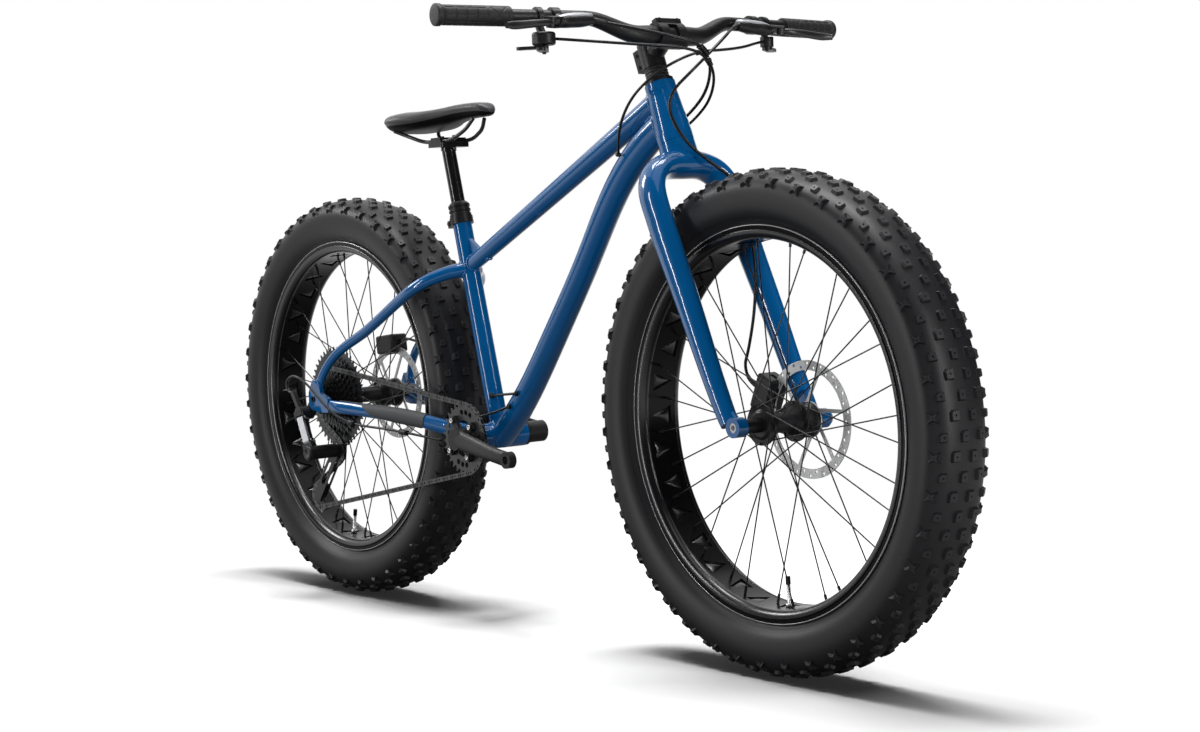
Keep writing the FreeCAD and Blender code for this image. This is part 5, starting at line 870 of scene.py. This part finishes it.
def tyre_finish(colours):
    """Cured rubber: dark and dull, smoother on the knobs' tops and painted lighter there, a painted highlight for the
    light they catch with some rubbed wear in it, and dark mould ticks on the sidewall.

    The map's first axis counts repeats round the tyre and its second is the radius in millimetres, or 1 on a knob's
    top and 0 on its sides. The ticks lie in a band at one radius, and a thin dark line runs round at another.
    """
    made, tree = material("cured_tyre_rubber")
    where = add(tree, "ShaderNodeTexCoord").outputs
    mark = add(tree, "ShaderNodeSeparateXYZ", {"Vector": where["UV"]}).outputs
    grain = noise(tree, where["Object"], 1.2, Detail=3.0)
    top = maths(tree, "COMPARE", mark["Y"], 1.0, 0.02)
    band = maths(tree, "COMPARE", mark["Y"], 345.0, 4.5)
    tick = maths(tree, "COMPARE", maths(tree, "FRACT", mark["X"]), 0.5, 0.012)
    line = maths(tree, "COMPARE", mark["Y"], 308.0, 0.7)
    dark = maths(tree, "MAXIMUM", maths(tree, "MULTIPLY", band, tick), line)
    level = mapped(tree, grain, 0.85, 1.15, *NOISE_SPAN)
    # Painted highlight with some rubbed wear: the knobs' tops are made lighter in colour, standing in for the light
    # they catch
    level = maths(tree, "MULTIPLY_ADD", top, 0.7, level)
    level = maths(tree, "MULTIPLY_ADD", dark, -0.6, level)
    shaded(tree, "ShaderNodeBsdfPrincipled", {
        "Base Color": tinted(tree, tuple(colours.rubber), level), "Roughness": mapped(tree, top, 0.44, 0.4),
        "Normal": relief(tree, grain, 0.02), "Specular IOR Level": 0.26})
    return made


def dark_below(finish, edge, level):
    """Takes a finish's colour and shine down to a level where the map's second axis is under an edge.

    That is the moulded base under a cover.
    """
    tree = finish.node_tree
    shader = next(node for node in tree.nodes if node.type == "BSDF_PRINCIPLED")
    mark = add(tree, "ShaderNodeSeparateXYZ", {"Vector": add(tree, "ShaderNodeTexCoord").outputs["UV"]}).outputs["Y"]
    share = mapped(tree, mark, level, 1.0, edge - 0.04, edge)
    colour = shader.inputs["Base Color"]
    tree.links.new(tinted(tree, colour.links[0].from_socket, share), colour)
    for key in ("Specular IOR Level", "Sheen Weight"):
        tree.links.new(maths(tree, "MULTIPLY", share, shader.inputs[key].default_value), shader.inputs[key])


# Finishes that follow one fine noise: material, dark and light colour, grain in millimetres, roughness, relief in
# millimetres, spread of the roughness, metal and specular level. Each comment says what the eye sees
PLAIN = {
    # bead-blasted and dyed aluminium: an even near-black with a soft sheen
    "anodised": ("black_anodised_aluminium", "#111113", "#171719", 0.9, 0.38, 0.006, 0.05, 0.0, 0.3),
    # powder-coated rim: black with a wide satin highlight
    "rim": ("satin_black_rim_coat", "#070708", "#0b0b0c", 1.4, 0.22, 0.004, 0.04, 0.0, 0.14),
    # forged crank: dark grey and smooth
    "crank": ("dark_grey_forged_aluminium", "#161618", "#1c1c1e", 1.2, 0.42, 0.004, 0.05, 0.0, 0.25),
    # hard-anodised sliding shaft: black and glossy
    "shaft": ("black_hard_anodised_shaft", "#101011", "#141415", 2.0, 0.2, 0.002, 0.03, 0.0, 0.5),
    # tumbled aluminium: silver with a soft blur
    "silver": ("silver_anodised_aluminium", "#9fa0a3", "#b3b4b7", 0.8, 0.34, 0.004, 0.06, 0.45, 0.5),
    # plated steel bolts: bright and clean
    "bolt": ("zinc_plated_steel", "#b4b5b7", "#d0d1d3", 0.8, 0.26, 0.0, 0.05, 0.85, 0.5),
    # levers: black with a clear line of light along the blade
    "lever": ("black_lever_aluminium", "#1b1b1d", "#232325", 0.9, 0.33, 0.004, 0.05, 0.0, 0.5),
    # ground stainless steel: pale grey, with a grain that blurs the reflection
    "rotor": ("ground_stainless_steel", "#a8a8aa", "#cecfd0", 0.5, 0.36, 0.003, 0.08, 0.6, 0.5),
    # oiled chain: dark steel that glints on its plates
    "chain": ("oiled_chain_steel", "#414142", "#5d5d5e", 0.7, 0.34, 0.004, 0.08, 0.9, 0.5),
    # cogs: darker steel than the chain, with a dull glint on the teeth
    "cog": ("dark_phosphated_steel", "#2e2f31", "#47484a", 0.8, 0.34, 0.004, 0.08, 0.9, 0.5),
    # chainring: black, a little lighter where it is machined
    "chainring": ("black_machined_aluminium", "#1c1c1e", "#28282a", 0.8, 0.34, 0.004, 0.06, 0.0, 0.5),
    # saddle rails and bearing rings: smooth black steel with a narrow highlight
    "bearing": ("black_oxide_steel", "#161617", "#1f1f20", 0.8, 0.3, 0.002, 0.05, 0.0, 0.5),
    # spokes: thin black wires that catch the light along their length
    "spoke": ("black_stainless_spoke", "#121213", "#19191a", 1.0, 0.32, 0.002, 0.05, 0.0, 0.5),
    # moulded rubber that guards the stay: mid grey and dull
    "guard": ("grey_moulded_rubber", "#363739", "#3f4042", 1.0, 0.62, 0.02, 0.06, 0.0, 0.3),
    # moulded glass-filled nylon: black with a fine grain
    "plastic": ("black_glass_filled_nylon", "#121213", "#18181a", 0.6, 0.42, 0.01, 0.06, 0.0, 0.35),
    # rim tape in the windows: nearly black, with a bright spot on each swell
    "strip": ("glossy_rim_tape", "#0a0a0c", "#0e0e10", 2.0, 0.24, 0.003, 0.04, 0.0, 0.6),
    # gloss black anodising: nearly black, with a sharp line of light on the rim's shoulders
    "gloss": ("gloss_black_anodising", "#0a0a0c", "#0e0e10", 2.0, 0.24, 0.003, 0.04, 0.0, 0.6),
    # the flange's edge, painted light grey: a painted highlight, a thin bright line round the rim
    "lip": ("rim_edge_painted_highlight", "#8c8c8e", "#a2a2a4", 1.5, 0.22, 0.0, 0.04, 0.4, 0.5),
    # grips, boots and grommets: soft black rubber with hardly any shine
    "grip": ("grip_rubber", "#1c1c1d", "#242425", 0.7, 0.55, 0.02, 0.07, 0.0, 0.3),
    # hoses and housings: black, with a thin highlight along the line
    "hose": ("black_nylon_hose_jacket", "#0d0d0e", "#131314", 1.0, 0.34, 0.005, 0.05, 0.0, 0.3),
}


def make_finishes(colours):
    """Makes every finish."""
    FINISH["paint"] = paint_finish(colours)
    for key, values in PLAIN.items():
        FINISH[key] = speckled(*values)
    FINISH["tyre"] = tyre_finish(colours)
    # microfibre saddle cover: charcoal with a close pebble grain, over a black base
    FINISH["saddle"] = speckled("charcoal_microfibre", "#242426", "#2f2f31", 0.9, 0.46, 0.03, 0.06, 0.0, 0.34,
                                **{"Sheen Weight": 0.5, "Sheen Roughness": 0.3})
    dark_below(FINISH["saddle"], -0.12, 0.12)


def seen(tree):
    """1 on the rays that show the stage itself: to the camera, off metal and through glass."""
    path = add(tree, "ShaderNodeLightPath").outputs
    plain = maths(tree, "MAXIMUM", path["Is Camera Ray"], path["Is Glossy Ray"])
    return maths(tree, "MAXIMUM", plain, path["Is Transmission Ray"])


def floor_finish(near=0.75, far=1.9):
    """A white floor that takes the shadows near the bike, and glows as the backdrop's white further off, in metres.

    What bounces off it onto the bike is little, so the undersides stay dark, as over a dark studio floor.
    """
    made, tree = material("white_studio_floor")
    where = add(tree, "ShaderNodeTexCoord").outputs["Object"]
    reach = add(tree, "ShaderNodeVectorMath", {0: where}, operation="LENGTH").outputs["Value"]
    share = maths(tree, "MULTIPLY", seen(tree), mapped(tree, reach, 0.02, 1.0, near, far))
    camera_ray = add(tree, "ShaderNodeLightPath").outputs["Is Camera Ray"]
    dull = add(tree, "ShaderNodeBsdfDiffuse", {"Color": mapped(tree, camera_ray, 0.08, 0.86)})
    glow = add(tree, "ShaderNodeEmission", {"Color": (1, 1, 1, 1), "Strength": 1.0})
    shaded(tree, "ShaderNodeMixShader", {0: share, 1: dull.outputs[0], 2: glow.outputs[0]})
    return made


def studio_world():
    """A world that shows white and lights the bike only a little."""
    world = bpy.data.worlds.new("white_studio")
    world.use_nodes = True
    tree = world.node_tree
    tree.nodes.clear()
    light = add(tree, "ShaderNodeBackground", {"Color": (1, 1, 1, 1), "Strength": mapped(tree, seen(tree), 0.12, 1.0)})
    add(tree, "ShaderNodeOutputWorld", {"Surface": light.outputs[0]})
    return world


def sheet(name, corners, finish):
    """A flat piece of the stage on four corners."""
    mesh = bpy.data.meshes.new(name)
    mesh.from_pydata(corners, [], [(0, 1, 2, 3)])
    mesh.materials.append(finish)
    return placed(name, mesh)


def lamp(name, place, target, size, power):
    """A soft box: a rectangular area lamp at a place that faces a target."""
    data = bpy.data.lights.new(name, "AREA")
    data.shape = "RECTANGLE"
    data.size, data.size_y = size
    data.energy = power
    made = placed(name, data)
    made.location = place
    made.rotation_euler = (Vector(target) - Vector(place)).to_track_quat("-Z", "Y").to_euler()
    return made


def lamps(floor):
    """The soft boxes. The side lamps are kept off the floor, so its shadows stay dark, and one lamp lights it alone."""
    lamp("overhead_box", (-0.2, 0.2, 4.0), (0, 0, 0.3), (3.2, 1.2), 170)
    side_lamps = (lamp("rear_box", (-3.0, -1.6, 2.4), (-0.2, 0, 0.6), (0.9, 1.2), 50),
                  lamp("front_strip", (3.4, 0.6, 1.2), (0.4, 0, 0.6), (0.25, 2.2), 45),
                  lamp("left_strip", (-0.9, -2.7, 0.9), (0.3, 0, 0.6), (0.22, 1.9), 30),
                  lamp("camera_fill", (3.4, -3.2, 1.5), (0, 0, 0.5), (2.4, 1.8), 130))
    side_lamps[-1].visible_glossy = False
    floor_lamp = lamp("floor_box", (-0.2, 0.1, 4.2), (0, 0, 0), (1.6, 0.8), 130)
    for made in side_lamps + (floor_lamp,):
        lit = bpy.data.collections.new(made.name + "_floor")
        lit.objects.link(floor)
        lit.collection_objects[0].light_linking.link_state = "INCLUDE" if made is floor_lamp else "EXCLUDE"
        made.light_linking.receiver_collection = lit


def photograph():
    """The photograph's camera: turned round, raised and rolled by angles in degrees, at a place in metres."""
    camera = bpy.data.cameras.new("photograph")
    camera.sensor_width = 36
    camera.sensor_fit = "HORIZONTAL"
    camera.lens = 63.8735
    holder = placed("photograph", camera)
    a, e, r = (math.radians(v) for v in (52.175, 3.501, -2.204))
    back = np.array((math.sin(a) * math.cos(e), -math.cos(a) * math.cos(e), math.sin(e)))
    right = np.array((math.cos(a), math.sin(a), 0))
    up = np.cross(back, right)
    turned_right = math.cos(r) * right + math.sin(r) * up
    turned_up = -math.sin(r) * right + math.cos(r) * up
    place = np.eye(4)
    place[:3] = np.stack((turned_right, turned_up, back, (2.92941, -2.149571, 0.668812)), -1)
    holder.matrix_world = Matrix(place.tolist())
    return holder


def stage(scene):
    """The white floor, the world, black cloths, the soft boxes and the camera."""
    scene.view_settings.view_transform = "Standard"
    floor = sheet("floor", [(-9, -9, 0), (9, -9, 0), (9, 9, 0), (-9, 9, 0)], floor_finish())
    scene.world = studio_world()
    black, tree = material("black_studio_cloth")
    shaded(tree, "ShaderNodeBsdfDiffuse", {"Color": (0.01, 0.01, 0.01, 1)})
    # Black cloths on the camera's side give the sides their deep colour, and the white behind gives bright edges
    for name, low, high in (("side_flag", (-6.0, -4.2), (4.6, -4.2)), ("front_flag", (4.6, -4.2), (4.6, 4.5)),
                            ("left_flag", (4.6, 4.5), (-1.2, 4.5))):
        cloth = sheet(name, [low + (0.02,), high + (0.02,), high + (6.0,), low + (6.0,)], black)
        cloth.visible_camera = False
    lamps(floor)
    scene.camera = photograph()


OPERATORS = (BIKE_OT_finishes, BIKE_OT_tyres, BIKE_OT_lines, BIKE_OT_saddle, BIKE_OT_grips, BIKE_OT_welds,
             BIKE_OT_fittings, BIKE_OT_stage)
CLASSES = (BikeColours, BikeSizes) + OPERATORS + (BIKE_PT_parts,)


def register():
    for kind in CLASSES:
        bpy.utils.register_class(kind)
    bpy.types.Scene.bike_colours = PointerProperty(type=BikeColours)
    bpy.types.Scene.bike_sizes = PointerProperty(type=BikeSizes)


def unregister():
    del bpy.types.Scene.bike_sizes
    del bpy.types.Scene.bike_colours
    for kind in reversed(CLASSES):
        bpy.utils.unregister_class(kind)


def main():
    """Registers the classes and builds each group in order."""
    register()
    for operator in OPERATORS:
        group, name = operator.bl_idname.split(".")
        getattr(getattr(bpy.ops, group), name)()


if __name__ == "__main__":
    main()
